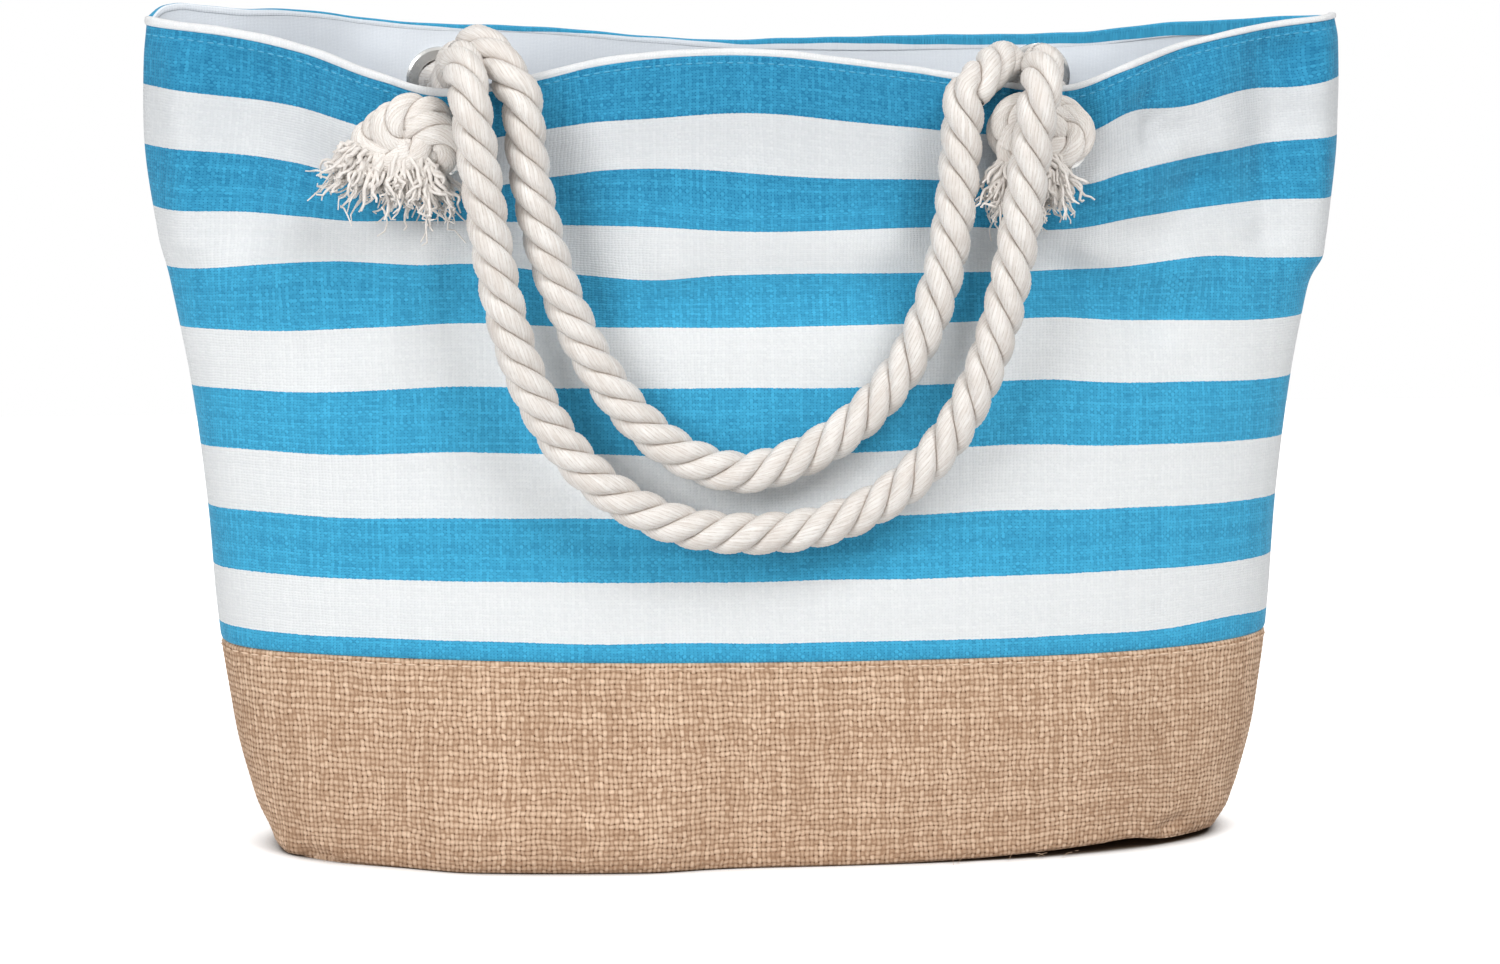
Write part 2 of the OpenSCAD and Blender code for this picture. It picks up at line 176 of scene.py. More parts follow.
# Each half of a hanging loop: its shift to the right, its taper, and the two powers of its round end
LOOPS = {
    (FRONT, LEFT): (-2.5 * MM, 0.2, 4, 0.45), (FRONT, RIGHT): (-2.5 * MM, 0.2, 4, 0.45),
    (BACK, LEFT): (-5 * MM, 0.12, 2.3, 0.5), (BACK, RIGHT): (-7.5 * MM, 0.12, 3.5, 0.6),
}
LOOP_LEAN = {FRONT: 0, BACK: 7 * MM}
LOOP_STEPS = 12
LOOP_DEPTHS = [math.sin(math.pi / 2 * k / LOOP_STEPS) for k in range(1, LOOP_STEPS)]
TURN_STEP = math.radians(22.5)
# The front rope: its clearance in front of the knots, and the share of its way sideways in its turn inside
KNOT_CLEARANCE, TURN_SHARE = 0.75 * MM, 0.25
# The back rope: its straight run inside, its pull aside, ahead and down where it leaves the eyelets, its pull
# at the front rim, its top behind that rim and its hang in front of it, and its step sideways on the way down
BACK_STRAIGHT = 4 * MM
LEAVING_PULL = 8 * MM, 18 * MM, 1.5 * MM
RIM_PULL, RIM_INSET, BACK_HANG = 24 * MM, 5 * MM, 9.25 * MM
SIDESTEP = {LEFT: 17 * MM, RIGHT: 19 * MM}

# Strands as shares of the rope's radius, ridges and lumps of their yarns, and the angle and ease at which painted
# shade starts in the grooves between the strands
STRAND_OFFSET, STRAND_HIGH, STRAND_WIDE, STRAND_POINTS = 0.52, 0.48, 0.6, 88
YARN_RIDGE, YARN_LUMP, YARN_SPAN, LUMP_SCALE = 0.09, 0.06, 5.4 * MM, 5
GROOVE_START, GROOVE_EASE = 1.65, 0.45

# Steps of the meshes
FINE_ANGLES, PATH_SAMPLES, DISC_ANGLES = 2001, 24, 121
DISC_RINGS = 1, 0.9, 0.75, 0.55, 0.3, 0.1
SHARP_EDGE = math.radians(50)
# Shortest and longest wave of the cloth's small wander in metres, and the name of the cloth coordinates
WANDER_PERIODS = 0.02, 0.09
CLOTH_MAP = "Cloth"
# How far the cloth reaches up into the turned edge, and the share of its box that the base's plan fills
UNDER_EDGE, BASE_FILL = 0.6 * MM, 0.86


def srgb(*values):
    """Linear colour of an 8-bit screen colour."""
    shares = [value / 255 for value in values]
    return tuple(c / 12.92 if c <= 0.04045 else ((c + 0.055) / 1.055) ** 2.4 for c in shares)


def number(label, value, text, **limits):
    """A number that a user may change."""
    return bpy.props.FloatProperty(name=label, description=text, default=value, **limits)


def length(label, millimetres, text):
    """A size that a user may change, given in millimetres and kept in metres."""
    return number(label, millimetres * MM, text, unit="LENGTH", precision=4)


def turn(label, degrees, text):
    """An angle that a user may change, given in degrees."""
    return number(label, math.radians(degrees), text, subtype="ANGLE")


def colour(label, screen, text):
    """A colour that a user may change, given as an 8-bit screen colour."""
    return bpy.props.FloatVectorProperty(
        name=label, description=text, default=srgb(*screen), subtype="COLOR", size=3, min=0, max=1)


class ToteBagSizes(bpy.types.PropertyGroup):
    """Sizes of the bag's cloth and eyelets."""

    mouth_width: length("Mouth width", 500, "Width across the two corners of the mouth")
    mouth_depth: length("Mouth depth", 71, "Opening of the mouth from front to back")
    base_width: length("Base width", 392, "Width of the base")
    base_depth: length("Base depth", 128, "Depth of the base from front to back")
    height: length("Height", 352, "Height of the mouth's corners above the floor")
    jute_height: length("Jute height", 87, "Height of the seam between jute and canvas")
    front_dip: length("Front dip", 27, "How far the front rim dips at its eyelets")
    back_dip: length("Back dip", 12, "How far the back rim dips in the middle")
    canvas_thickness: length("Canvas thickness", 1.6, "Thickness of the canvas with its interlining")
    jute_thickness: length("Jute thickness", 1.8, "Thickness of the jute cloth")
    lining_thickness: length("Lining thickness", 1, "Thickness of the lining")
    layer_gap: length("Layer gap", 0.3, "Air between the outer cloth and the lining")
    edge_height: length("Edge height", 3, "Height of the turned edge along the rim")
    edge_proud: length("Edge proud", 0.4, "How far the turned edge stands proud of the cloth")
    stripe: length("Stripe", 25.6, "Width of one stripe")
    stripe_top: length("Stripe top", 351.2, "Level at which the topmost stripe starts")
    canvas_pitch: length("Canvas thread pitch", 1.45, "Distance between the canvas's upright threads")
    canvas_row: length("Canvas row pitch", 1.2, "Distance between the canvas's level threads")
    jute_pitch: length("Jute thread pitch", 2.0, "Distance between the jute's upright threads")
    jute_row: length("Jute row pitch", 2.3, "Distance between the jute's level threads")
    lining_pitch: length("Lining thread pitch", 0.6, "Distance between the lining's threads")
    eyelet_x: length("Eyelet place", 128, "Distance of each eyelet from the middle of its panel")
    eyelet_drop: length("Eyelet drop", 21, "Distance of each eyelet's centre below the rim")
    flange_radius: length("Flange radius", 14.5, "Radius of an eyelet's flange")
    hole_radius: length("Hole radius", 10.2, "Radius of the holes in the cloth")


class ToteRopeSizes(bpy.types.PropertyGroup):
    """Sizes of the rope handles, their knots and their frayed ends."""

    diameter: length("Rope diameter", 17.5, "Thickness of the laid rope")
    lay: length("Lay", 40, "Length of one turn of a strand round the rope")
    yarns: bpy.props.IntProperty(
        name="Yarns", description="Yarns that show round one strand", default=20, min=5, max=30)
    front_half: length("Front half width", 115, "Half width of the front handle at the rim")
    front_drop: length("Front drop", 173, "Hanging depth of the front handle below its bend")
    back_half: length("Back half width", 92, "Half width of the back handle at the rim")
    back_drop: length("Back drop", 153.5, "Hanging depth of the back handle below its bend")
    knot_thickness: length("Knot thickness", 14, "Thickness of a knot from the panel outwards")
    knot_reach: length("Knot reach", 22, "Half width of a knot across the panel")
    fray_length: length("Fray length", 19, "Length of the yarns at a frayed end")
    yarn_diameter: length("Yarn diameter", 1.9, "Thickness of one yarn of a frayed end")


class ToteColours(bpy.types.PropertyGroup):
    """Colours of the cloth, ropes and metal."""

    # Each shade tint colours darker threads or fibres, and is also the colour of painted shade: in the weave's
    # gaps, towards the canvas rim, away from the jute's crowns and between the rope's yarns.
    blue: colour("Blue stripe", (66, 172, 213), "Blue of the canvas stripes")
    blue_dark: colour("Blue shade", (16, 104, 145), "Darker threads of the blue stripes")
    white: colour("White stripe", (226, 228, 229), "White of the canvas stripes")
    white_dark: colour("White shade", (202, 205, 208), "Darker threads of the white stripes")
    jute: colour("Jute", (236, 207, 180), "Light threads of the jute")
    jute_dark: colour("Jute shade", (168, 135, 108), "Dark threads of the jute")
    # Painted shade: the gaps between the jute's threads are painted this dark tint.
    jute_gap_shade: colour("Jute gaps", (96, 68, 48), "Gaps between the jute's threads")
    lining: colour("Lining", (232, 237, 242), "Lining of the bag")
    lining_dark: colour("Lining shade", (216, 222, 230), "Darker threads of the lining")
    edge: colour("White edge", (242, 242, 242), "Turned edge of the front rim")
    rope: colour("Rope", (243, 240, 236), "Cotton of the ropes")
    rope_dark: colour("Rope shade", (212, 203, 195), "Darker fibres of the ropes")
    # Painted shade: the grooves between the strands are painted this darker tint.
    rope_groove_shade: colour("Rope groove", (186, 173, 162), "Cotton in the grooves between the strands")
    nickel: colour("Nickel", (214, 213, 210), "Metal of the eyelets")
    thread: colour("Stitches", (88, 172, 208), "Sewing thread of the canvas")


class ToteStage(bpy.types.PropertyGroup):
    """Camera, lights and floor."""

    azimuth: turn("Azimuth", -5, "Side from which the camera looks, 0 straight at the front")
    elevation: turn("Elevation", 9, "Height of the camera above the horizon")
    distance: length("Distance", 2000, "Distance of the camera from the bag's middle")
    target: length("Target", 175, "Height of the point that the camera looks at")
    lens: number("Lens", 112.8, "Focal length in millimetres", min=20)
    shift_x: number("Shift X", 0.0025, "Sideways shift")
    shift_y: number("Shift Y", -0.034, "Upward shift")
    ambient: number("Ambient", 0.25, "Light from all around", min=0)
    key: number("Key", 56, "Key light", unit="POWER")
    fill: number("Fill", 50, "Fill light", unit="POWER")
    top: number("Top", 9, "Top light", unit="POWER")
    back: number("Back", 18, "Light behind the bag", unit="POWER")
    glow: number("Floor glow", 0.62, "Light of the paper itself where it is seen", min=0)


# Measures of the bag

def ease(share):
    """Smooth step from 0 to 1."""
    t = np.clip(share, 0, 1)
    return t * t * (3 - 2 * t)


def mix(a, b, share):
    """Value at a share of the way from a to b."""
    return a + (b - a) * share


def signed_power(values, power):
    """Power of the values' sizes, with the values' signs."""
    return np.sign(values) * np.abs(values) ** power


def lengths_along(points):
    """Length along a line of points at each of them."""
    return np.concatenate([[0], np.cumsum(np.linalg.norm(np.diff(points, axis=0), axis=1))])


def smooth_lookup(x, table):
    """Value at x of a smooth curve through a table's points."""
    px, py = np.array(table, float).T
    slope = np.gradient(py, px)
    i = np.clip(np.searchsorted(px, x) - 1, 0, len(px) - 2)
    run = px[i + 1] - px[i]
    t = np.clip((x - px[i]) / run, 0, 1)
    return (py[i] * (2 * t**3 - 3 * t**2 + 1) + slope[i] * run * (t**3 - 2 * t**2 + t)
            + py[i + 1] * (3 * t**2 - 2 * t**3) + slope[i + 1] * run * (t**3 - t**2))


def fold_height(folds, x, level):
    """Outward height in metres of the folds at points of a panel."""
    total = np.zeros(np.broadcast(x, level).shape)
    for (x0, z0), (x1, z1), wide, high in folds:
        ax, az, run, rise = x0 * MM, z0 * MM, (x1 - x0) * MM, (z1 - z0) * MM
        t = np.clip(((x - ax) * run + (level - az) * rise) / (run**2 + rise**2), 0, 1)
        away = np.hypot(x - ax - t * run, level - az - t * rise)
        total += high * MM * np.exp(-(away / (wide * MM)) ** 2)
    return total


def swell(x, level, at_x, at_level, wide, high, rise):
    """Height in metres of a soft swell about a point of a panel, given in millimetres."""
    away = ((x - at_x * MM) / (wide * MM)) ** 2 + ((level - at_level * MM) / (high * MM)) ** 2
    return rise * MM * np.exp(-away)


def drawn_level(side, x, level):
    """Level on the flat cloth that shows at a point of the hung panel."""
    moved = level
    for place in CANVAS_DRAWN[side]:
        moved = moved - swell(x, level, *place)
    return moved


def foot_lift(x, y):
    """How far the foot lifts off the floor, most along the front."""
    return smooth_lookup(x / MM, FOOT_LIFT) * MM * ease(-y / LIFT_DEPTH)


def lift_foot(points, level):
    """Lifts the lower part of a panel with the foot."""
    points[..., 2] += foot_lift(points[..., 0], points[..., 1]) * (1 - ease(level / FOOT_REACH))


def wander(u, v, waves, seed):
    """Slow, even wander between -1 and 1 over a surface, from a few seeded waves."""
    draw = np.random.default_rng(seed)
    total = 0
    for _ in range(waves):
        angle, period, phase = draw.uniform(0, math.tau), draw.uniform(*WANDER_PERIODS), draw.uniform(0, math.tau)
        total = total + np.sin(math.tau * (u * math.cos(angle) + v * math.sin(angle)) / period + phase)
    return total / waves


def weave_height(u, v):
    """Height from 0 to 1 of a plain weave at thread coordinates."""
    across_u, across_v = u - np.floor(u) - 0.5, v - np.floor(v) - 0.5
    over = 1 - 2 * ((np.floor(u) + np.floor(v)) % 2)
    warp = 1 - 4 * across_u**2 + 0.5 * over * np.cos(math.pi * across_v)
    weft = 1 - 4 * across_v**2 - 0.5 * over * np.cos(math.pi * across_u)
    return np.maximum(warp, weft) / 1.5


class Tote:
    """The bag's and ropes' measures in metres, worked out as the CAD source does, and its tints."""

    def __init__(self, scene):
        self.bag, self.rope, self.tints = scene.tote_bag, scene.tote_rope, scene.tote_colours
        bag = self.bag
        self.radius = self.rope.diameter / 2
        self.stack = bag.canvas_thickness + bag.layer_gap + bag.lining_thickness
        self.stub_in = self.stack + STUB_IN
        self.mouth = {FRONT: bag.mouth_depth * FRONT_SHARE, BACK: bag.mouth_depth * (1 - FRONT_SHARE)}
        self.eye_y = {side: self.mouth[side] + EYELET_PUSH[side] for side in SIDES}
        self.eye_z = {
            FRONT: bag.height - bag.front_dip - bag.eyelet_drop,
            BACK: bag.height - BACK_EYELET_DIP * bag.back_dip - bag.eyelet_drop,
        }
        self.cloth_top = bag.height - bag.edge_height

    def half_width(self, level):
        """Half width of the plan at a level."""
        share = smooth_lookup(level / self.bag.height, WIDTH_BY_HEIGHT)
        return mix(self.bag.base_width, self.bag.mouth_width, share) / 2

    def half_depth(self, side, level):
        """Depth of the plan at a level, from the middle to one side."""
        share = smooth_lookup(level / self.bag.height, DEPTH_BY_HEIGHT)
        return mix(self.mouth[side], self.bag.base_depth / 2, share)

    def dip(self, side, across, level):
        """How far the cloth at a level dips, across the panel from -1 to 1."""
        most = self.bag.front_dip if side == FRONT else self.bag.back_dip
        depth = (self.cloth_top - level) / (self.cloth_top - self.bag.jute_height)
        return most * smooth_lookup(across, RIM_DIP[side]) * smooth_lookup(depth, DIP_BY_DEPTH)

    def cloth(self, side, angle, level, inset=0.0):
        """Points of the cloth: angle runs round the plan from the right seam to the left."""
        power = 2 / mix(BASE_SQUARENESS, MOUTH_SQUARENESS, level / self.bag.height)
        width, depth = self.half_width(level) - inset, self.half_depth(side, level) - inset
        x = width * signed_power(np.cos(angle), power)
        x = x + np.maximum(x, 0) * RIGHT_EASE * (1 - ease(level / RIGHT_EASE_TOP))
        y = depth * np.abs(np.sin(angle)) ** power
        rise = smooth_lookup(x / width, SEAM_RISE[side]) * MM
        rise = rise * np.exp(-((level - self.bag.jute_height) / SEAM_REACH) ** 2)
        if side == FRONT:
            rise = rise + swell(x, level, *FRONT_LIFT)
        z = level - self.dip(side, x / width, level) + rise
        away = np.hypot(np.abs(x) - self.bag.eyelet_x, z - self.eye_z[side])
        flat = 1 - ease((away - self.bag.flange_radius - FLAT_MARGIN) / FLAT_EASE[side])
        y = mix(y, self.eye_y[side] - inset, flat)
        return np.stack(np.broadcast_arrays(x, side * y, z), -1)

    def even_angles(self, side, columns, level):
        """Angles that step evenly along the cloth at a level."""
        fine = np.linspace(0, math.pi, FINE_ANGLES)
        along = lengths_along(self.cloth(side, fine, level))
        return np.interp(np.linspace(0, along[-1], columns + 1), along, fine)

    def panel(self, side, levels, columns, inset=0.0):
        """Grid of cloth points, its outward normals and its flat coordinates in metres."""
        angles = self.even_angles(side, columns, levels[len(levels) // 2])
        points = self.cloth(side, angles[None, :], levels[:, None], inset)
        along = np.stack([lengths_along(row) for row in points])
        u = along[:, -1:] / 2 - along
        return points, grid_normals(points, side), u, np.broadcast_to(levels[:, None], u.shape)

    def folded(self, side, points, normals, level, folds):
        """Points moved out by the folds of their panel."""
        return points + normals * fold_height(folds[side], points[..., 0], level)[..., None]

    def by_eyelet(self, side, end, x, z):
        """Place in the middle of a knot's thickness, from its eyelet in millimetres across and up."""
        return (end * self.bag.eyelet_x + x * MM,
                side * (self.eye_y[side] + STUB_OUT + self.rope.knot_thickness / 2),
                self.eye_z[side] + z * MM)

    def arch(self, side, end):
        """Level of the foot of a rope's arch over the front rim, and the arch's rise."""
        rise = self.radius + self.bag.eyelet_drop - ARCH_FOOT[side] + ARCH_CLEARANCE[side, end]
        return self.eye_z[FRONT] + ARCH_FOOT[side], rise

    def loop_size(self, side):
        """Half width and drop of a handle's hanging loop."""
        rope = self.rope
        return (rope.front_half, rope.front_drop) if side == FRONT else (rope.back_half, rope.back_drop)

    def hanging(self, side, end, hang_y):
        """One half of a hanging loop, down to just above its lowest point."""
        wide, drop = self.loop_size(side)
        shift, taper, power, root = LOOPS[side, end]
        foot, _ = self.arch(side, end)
        points = []
        for depth in LOOP_DEPTHS:
            half = wide * (1 - taper * depth) * (1 - depth**power) ** root
            points.append((shift + end * half, -hang_y - LOOP_LEAN[side] * depth, foot - drop * depth))
        return points

    def front_route(self, end):
        """Half of the front handle: out of the knot, in through the eyelet, over the rim and down."""
        turn_radius = ARCH_FOOT[FRONT]
        eye_y, eye_z = self.eye_y[FRONT], self.eye_z[FRONT]
        hang_y = eye_y + STUB_OUT + self.rope.knot_thickness + KNOT_CLEARANCE + self.radius
        in_y = eye_y - self.stub_in - turn_radius
        arch_y, arch_reach = (hang_y + in_y) / 2, (hang_y - in_y) / 2
        foot, rise = self.arch(FRONT, end)
        x0, x1 = end * self.bag.eyelet_x, LOOPS[FRONT, end][0] + end * self.rope.front_half
        xm = mix(x0, x1, TURN_SHARE)
        points = [(x0, -eye_y - STUB_OUT, eye_z), (x0, -eye_y + self.stub_in, eye_z)]
        for k in range(1, 5):
            a = k * TURN_STEP
            points.append((mix(x0, xm, k / 4), -in_y - turn_radius * (1 - math.sin(a)),
                           eye_z + turn_radius * (1 - math.cos(a))))
        for k in range(1, 9):
            a = k * TURN_STEP
            points.append((mix(xm, x1, k / 8), -arch_y + arch_reach * math.cos(a), foot + rise * math.sin(a)))
        return points + self.hanging(FRONT, end, hang_y)

    def back_route(self, end):
        """Half of the back handle: in through the eyelet, across the mouth, over the front rim and down."""
        eye_y, eye_z = self.eye_y[BACK], self.eye_z[BACK]
        foot, rise = self.arch(BACK, end)
        top, top_y = foot + rise, self.eye_y[FRONT] - RIM_INSET
        hang_y = self.eye_y[FRONT] + self.radius + BACK_HANG
        inner = eye_y - self.stub_in - BACK_STRAIGHT
        x0, x1 = end * self.bag.eyelet_x, LOOPS[BACK, end][0] + end * self.rope.back_half
        xt = x1 + end * SIDESTEP[end]
        aside, ahead, down = LEAVING_PULL
        pulls = np.array([(x0, inner, eye_z), (x0 - end * aside, inner - ahead, eye_z - down),
                          (xt, -top_y + RIM_PULL, top), (xt, -top_y, top)])
        points = [(x0, eye_y + STUB_OUT, eye_z), (x0, inner, eye_z)]
        for t in np.arange(1, 9) / 8:
            points.append(np.array([(1 - t)**3, 3 * (1 - t)**2 * t, 3 * (1 - t) * t * t, t**3]) @ pulls)
        for k in range(1, 5):
            a = k * TURN_STEP
            points.append((mix(xt, x1, k / 4), -top_y - (hang_y - top_y) * math.sin(a), foot + rise * math.cos(a)))
        return points + self.hanging(BACK, end, hang_y)

    def route(self, side):
        """All points of a handle's rope, from the left knot to the right one."""
        half = self.front_route if side == FRONT else self.back_route
        left, right = [np.array(half(end)) for end in ENDS]
        foot, _ = self.arch(side, LEFT)
        lowest = ((left[-1, 0] + right[-1, 0]) / 2, left[-1, 1] - LOOP_LEAN[side] * (1 - LOOP_DEPTHS[-1]),
                  foot - self.loop_size(side)[1])
        return np.concatenate([left, [lowest], right[::-1]])


# Meshes

def grid_normals(points, side):
    """Unit normals of a grid of points, outward for a panel of that side."""
    down, along = np.gradient(points, axis=0), np.gradient(points, axis=1)
    normals = side * np.cross(along, down)
    return normals / np.maximum(np.linalg.norm(normals, axis=-1, keepdims=True), 1e-12)


def grid_quads(rows, columns, side):
    """Faces of a grid of points, facing outward for a panel of that side."""
    index = np.arange(rows * columns).reshape(rows, columns)
    quads = np.stack([index[:-1, :-1], index[:-1, 1:], index[1:, 1:], index[1:, :-1]], -1).reshape(-1, 4)
    return quads if side == BACK else quads[:, ::-1]


def new_piece(name, points, faces, uv=None, material=None):
    """A smooth mesh object at the origin, with cloth coordinates per point."""
    mesh = bpy.data.meshes.new(name)
    mesh.from_pydata(np.asarray(points, float).reshape(-1, 3).tolist(), [], faces)
    if uv is not None:
        corners = np.zeros(len(mesh.loops), np.int32)
        mesh.loops.foreach_get("vertex_index", corners)
        layer = mesh.uv_layers.new(name=CLOTH_MAP)
        layer.data.foreach_set("uv", np.asarray(uv, np.float32).reshape(-1, 2)[corners].ravel())
    mesh.shade_smooth()
    if material:
        mesh.materials.append(material)
    return linked(name, mesh)


def linked(name, data):
    """An object of a mesh, lamp or camera, in the scene."""
    made = bpy.data.objects.new(name, data)
    bpy.context.scene.collection.objects.link(made)
    return made


def set_field(mesh, label, values):
    """Gives each point of a mesh a named number or vector."""
    kind, slot = ("FLOAT", "value") if np.ndim(values) == 1 else ("FLOAT_VECTOR", "vector")
    layer = mesh.attributes.new(label, kind, "POINT")
    layer.data.foreach_set(slot, np.asarray(values, np.float32).ravel())


def mesh_points(piece):
    """Array of a piece's points."""
    return np.array([vertex.co for vertex in piece.data.vertices])


def set_mesh_points(piece, points):
    """Moves a piece's points."""
    piece.data.vertices.foreach_set("co", points.astype(np.float32).ravel())
    piece.data.update()


def doubled(outer, inner, quads):
    """Points and faces of a closed sheet: an outer and an inner layer, joined along every open edge."""
    count = len(outer)
    edges = quads[:, [0, 1, 1, 2, 2, 3, 3, 0]].reshape(-1, 2)
    forward, backward = edges[:, 0] * count + edges[:, 1], edges[:, 1] * count + edges[:, 0]
    rim = edges[~np.isin(forward, backward)]
    walls = np.stack([rim[:, 1], rim[:, 0], rim[:, 0] + count, rim[:, 1] + count], -1)
    faces = np.concatenate([quads, quads[:, ::-1] + count, walls])
    return np.concatenate([outer, inner]), faces


def panel_piece(tote, name, side, outer, thickness, uv, material):
    """A sheet of cloth with its thickness, cut out round its eyelets."""
    quads = grid_quads(*outer.shape[:2], side)
    flat, normals = outer.reshape(-1, 3), grid_normals(outer, side).reshape(-1, 3)
    middle = flat[quads].mean(axis=1)
    away = np.hypot(np.abs(middle[:, 0]) - tote.bag.eyelet_x, middle[:, 2] - tote.eye_z[side])
    quads = quads[away > tote.bag.hole_radius]
    points, faces = doubled(flat, flat - normals * thickness, quads)
    piece = new_piece(name, points, faces.tolist(), np.concatenate([uv.reshape(-1, 2)] * 2), material)
    piece.data.set_sharp_from_angle(angle=SHARP_EDGE)
    return piece


def coarse_backed(name, side, outer, inner, coarse, uv, material):
    """A closed sheet with a fine outer face and an inner one that has only some of its rows."""
    rows, columns = outer.shape[:2]
    count = rows * columns
    faces = grid_quads(rows, columns, side).tolist()
    faces += (grid_quads(len(coarse), columns, -side) + count).tolist()
    fine = np.arange(count).reshape(rows, columns)
    rough = count + np.arange(len(coarse) * columns).reshape(len(coarse), columns)
    for row, flip in ((0, side == BACK), (-1, side != BACK)):
        wall = np.stack([fine[row, :-1], fine[row, 1:], rough[row, 1:], rough[row, :-1]], -1)
        faces += (wall[:, ::-1] if flip else wall).tolist()
    for column, flip in ((0, side != BACK), (-1, side == BACK)):
        for j in range(len(coarse) - 1):
            run = fine[coarse[j]:coarse[j + 1] + 1, column].tolist()
            face = run + [int(rough[j + 1, column]), int(rough[j, column])]
            faces.append(face[::-1] if flip else face)
    points = np.concatenate([outer.reshape(-1, 3), inner.reshape(-1, 3)])
    coords = np.concatenate([uv.reshape(-1, 2), uv[coarse].reshape(-1, 2)])
    return new_piece(name, points, faces, coords, material)


def floor_disc(tote, name, level, inset, low, high, material):
    """A flat cloth of the base's plan, in rings round its middle."""
    angles = np.linspace(0, math.pi, DISC_ANGLES)
    plan = np.concatenate([tote.cloth(BACK, angles[:-1], level, inset)[:, :2],
                           tote.cloth(FRONT, angles[::-1][:-1], level, inset)[:, :2]])
    rings = plan[None] * np.array(DISC_RINGS)[:, None, None]
    layer = np.concatenate([rings.reshape(-1, 2), np.zeros((1, 2))])
    wide, count = len(plan), len(layer)
    flat = np.concatenate([layer, layer])
    points = np.column_stack([flat, np.repeat([high, low], count) + foot_lift(flat[:, 0], flat[:, 1])])
    steps = [(i, (i + 1) % wide) for i in range(wide)]
    last = (len(DISC_RINGS) - 1) * wide
    top = [(j + i, j + k, j + wide + k, j + wide + i) for j in range(0, last, wide) for i, k in steps]
    top += [(last + i, last + k, count - 1) for i, k in steps]
    faces = top + [tuple(v + count for v in face[::-1]) for face in top]
    faces += [(k, i, i + count, k + count) for i, k in steps]
    piece = new_piece(name, points, faces, flat, material)
    piece.data.set_sharp_from_angle(angle=SHARP_EDGE)
    return piece


def edge_roll(distance, reach, depth):
    """How far cloth rolls inward at a distance from a sewn edge, short of a full quarter turn."""
    t = np.clip(1 - distance / reach, 0, 1)
    return depth * (1 - np.sqrt(1 - 0.98 * t * t))


def smooth_path(points, step):
    """Even samples of a smooth curve through points, and the lengths along it there and at those points."""
    padded = np.concatenate([[2 * points[0] - points[1]], points, [2 * points[-1] - points[-2]]])
    fine, marks = [], []
    t = np.linspace(0, 1, PATH_SAMPLES, endpoint=False)[:, None]
    for a, b, c, d in zip(padded[:-3], padded[1:-2], padded[2:-1], padded[3:]):
        marks.append(len(fine) * len(t))
        fine.append(0.5 * (2 * b + (c - a) * t + (2 * a - 5 * b + 4 * c - d) * t**2
                           + (3 * b - a - 3 * c + d) * t**3))
    curve = np.concatenate(fine + [points[-1:]])
    marks.append(len(curve) - 1)
    along = lengths_along(curve)
    even = np.linspace(0, along[-1], int(round(along[-1] / step)) + 1)
    return np.stack([np.interp(even, along, curve[:, k]) for k in range(3)], -1), even, along[marks]


def path_frames(path):
    """Two side vectors that follow a path without twisting."""
    ahead = np.gradient(path, axis=0)
    ahead /= np.linalg.norm(ahead, axis=1, keepdims=True)
    side = np.zeros_like(path)
    start = np.cross(ahead[0], (0, 0, 1) if abs(ahead[0][2]) < 0.9 else (1, 0, 0))
    for i, direction in enumerate(ahead):
        start = start - (start @ direction) * direction
        start = start / np.linalg.norm(start)
        side[i] = start
    return side, np.cross(ahead, side)


def laid_rope(tote, name, path, along, frames, radius, lay):
    """Three strands laid round a path, each with the ridges of its yarns."""
    side, up = frames
    turned = math.tau * along / lay
    theta = np.linspace(-math.pi, math.pi, STRAND_POINTS, endpoint=False)
    points, coords, faces = [], [], []
    rings, wide = len(path), len(theta)
    for strand in range(3):
        centre = math.tau * strand / 3 - turned
        out = np.cos(centre)[:, None] * side + np.sin(centre)[:, None] * up
        across = -np.sin(centre)[:, None] * side + np.cos(centre)[:, None] * up
        phase = theta[None, :] - turned[:, None] / STRAND_WIDE
        ridge = 1 + YARN_RIDGE * (np.abs(np.cos(tote.rope.yarns * phase / 2)) - 0.6)
        lumps = wander(LUMP_SCALE * YARN_SPAN * phase, LUMP_SCALE * along[:, None], waves=9, seed=30 + strand)
        ridge = ridge + YARN_LUMP * lumps
        high = radius * (STRAND_OFFSET + STRAND_HIGH * np.cos(theta)[None, :] * ridge)
        sideways = radius * STRAND_WIDE * np.sin(theta)[None, :] * ridge
        ring = path[:, None] + high[..., None] * out[:, None] + sideways[..., None] * across[:, None]
        index = len(points) * rings * wide + np.arange(rings * wide).reshape(rings, wide)
        nxt = np.roll(index, -1, axis=1)
        quads = np.stack([index[:-1], nxt[:-1], nxt[1:], index[1:]], -1).reshape(-1, 4)
        faces += quads.tolist() + [index[0, ::-1].tolist(), index[-1].tolist()]
        points.append(ring.reshape(-1, 3))
        coords.append(np.stack([phase * YARN_SPAN, np.broadcast_to(along[:, None], phase.shape)], -1))
    material = shared(bpy.data.materials, "rope_cotton", cotton_material, tote)
    piece = new_piece(name, np.concatenate(points), faces, np.concatenate(coords).reshape(-1, 2), material)
    # Mask of the painted shade in the grooves between the strands
    set_field(piece.data, "groove", np.tile(ease((np.abs(theta) - GROOVE_START) / GROOVE_EASE), 3 * rings))
    return piece


# Materials

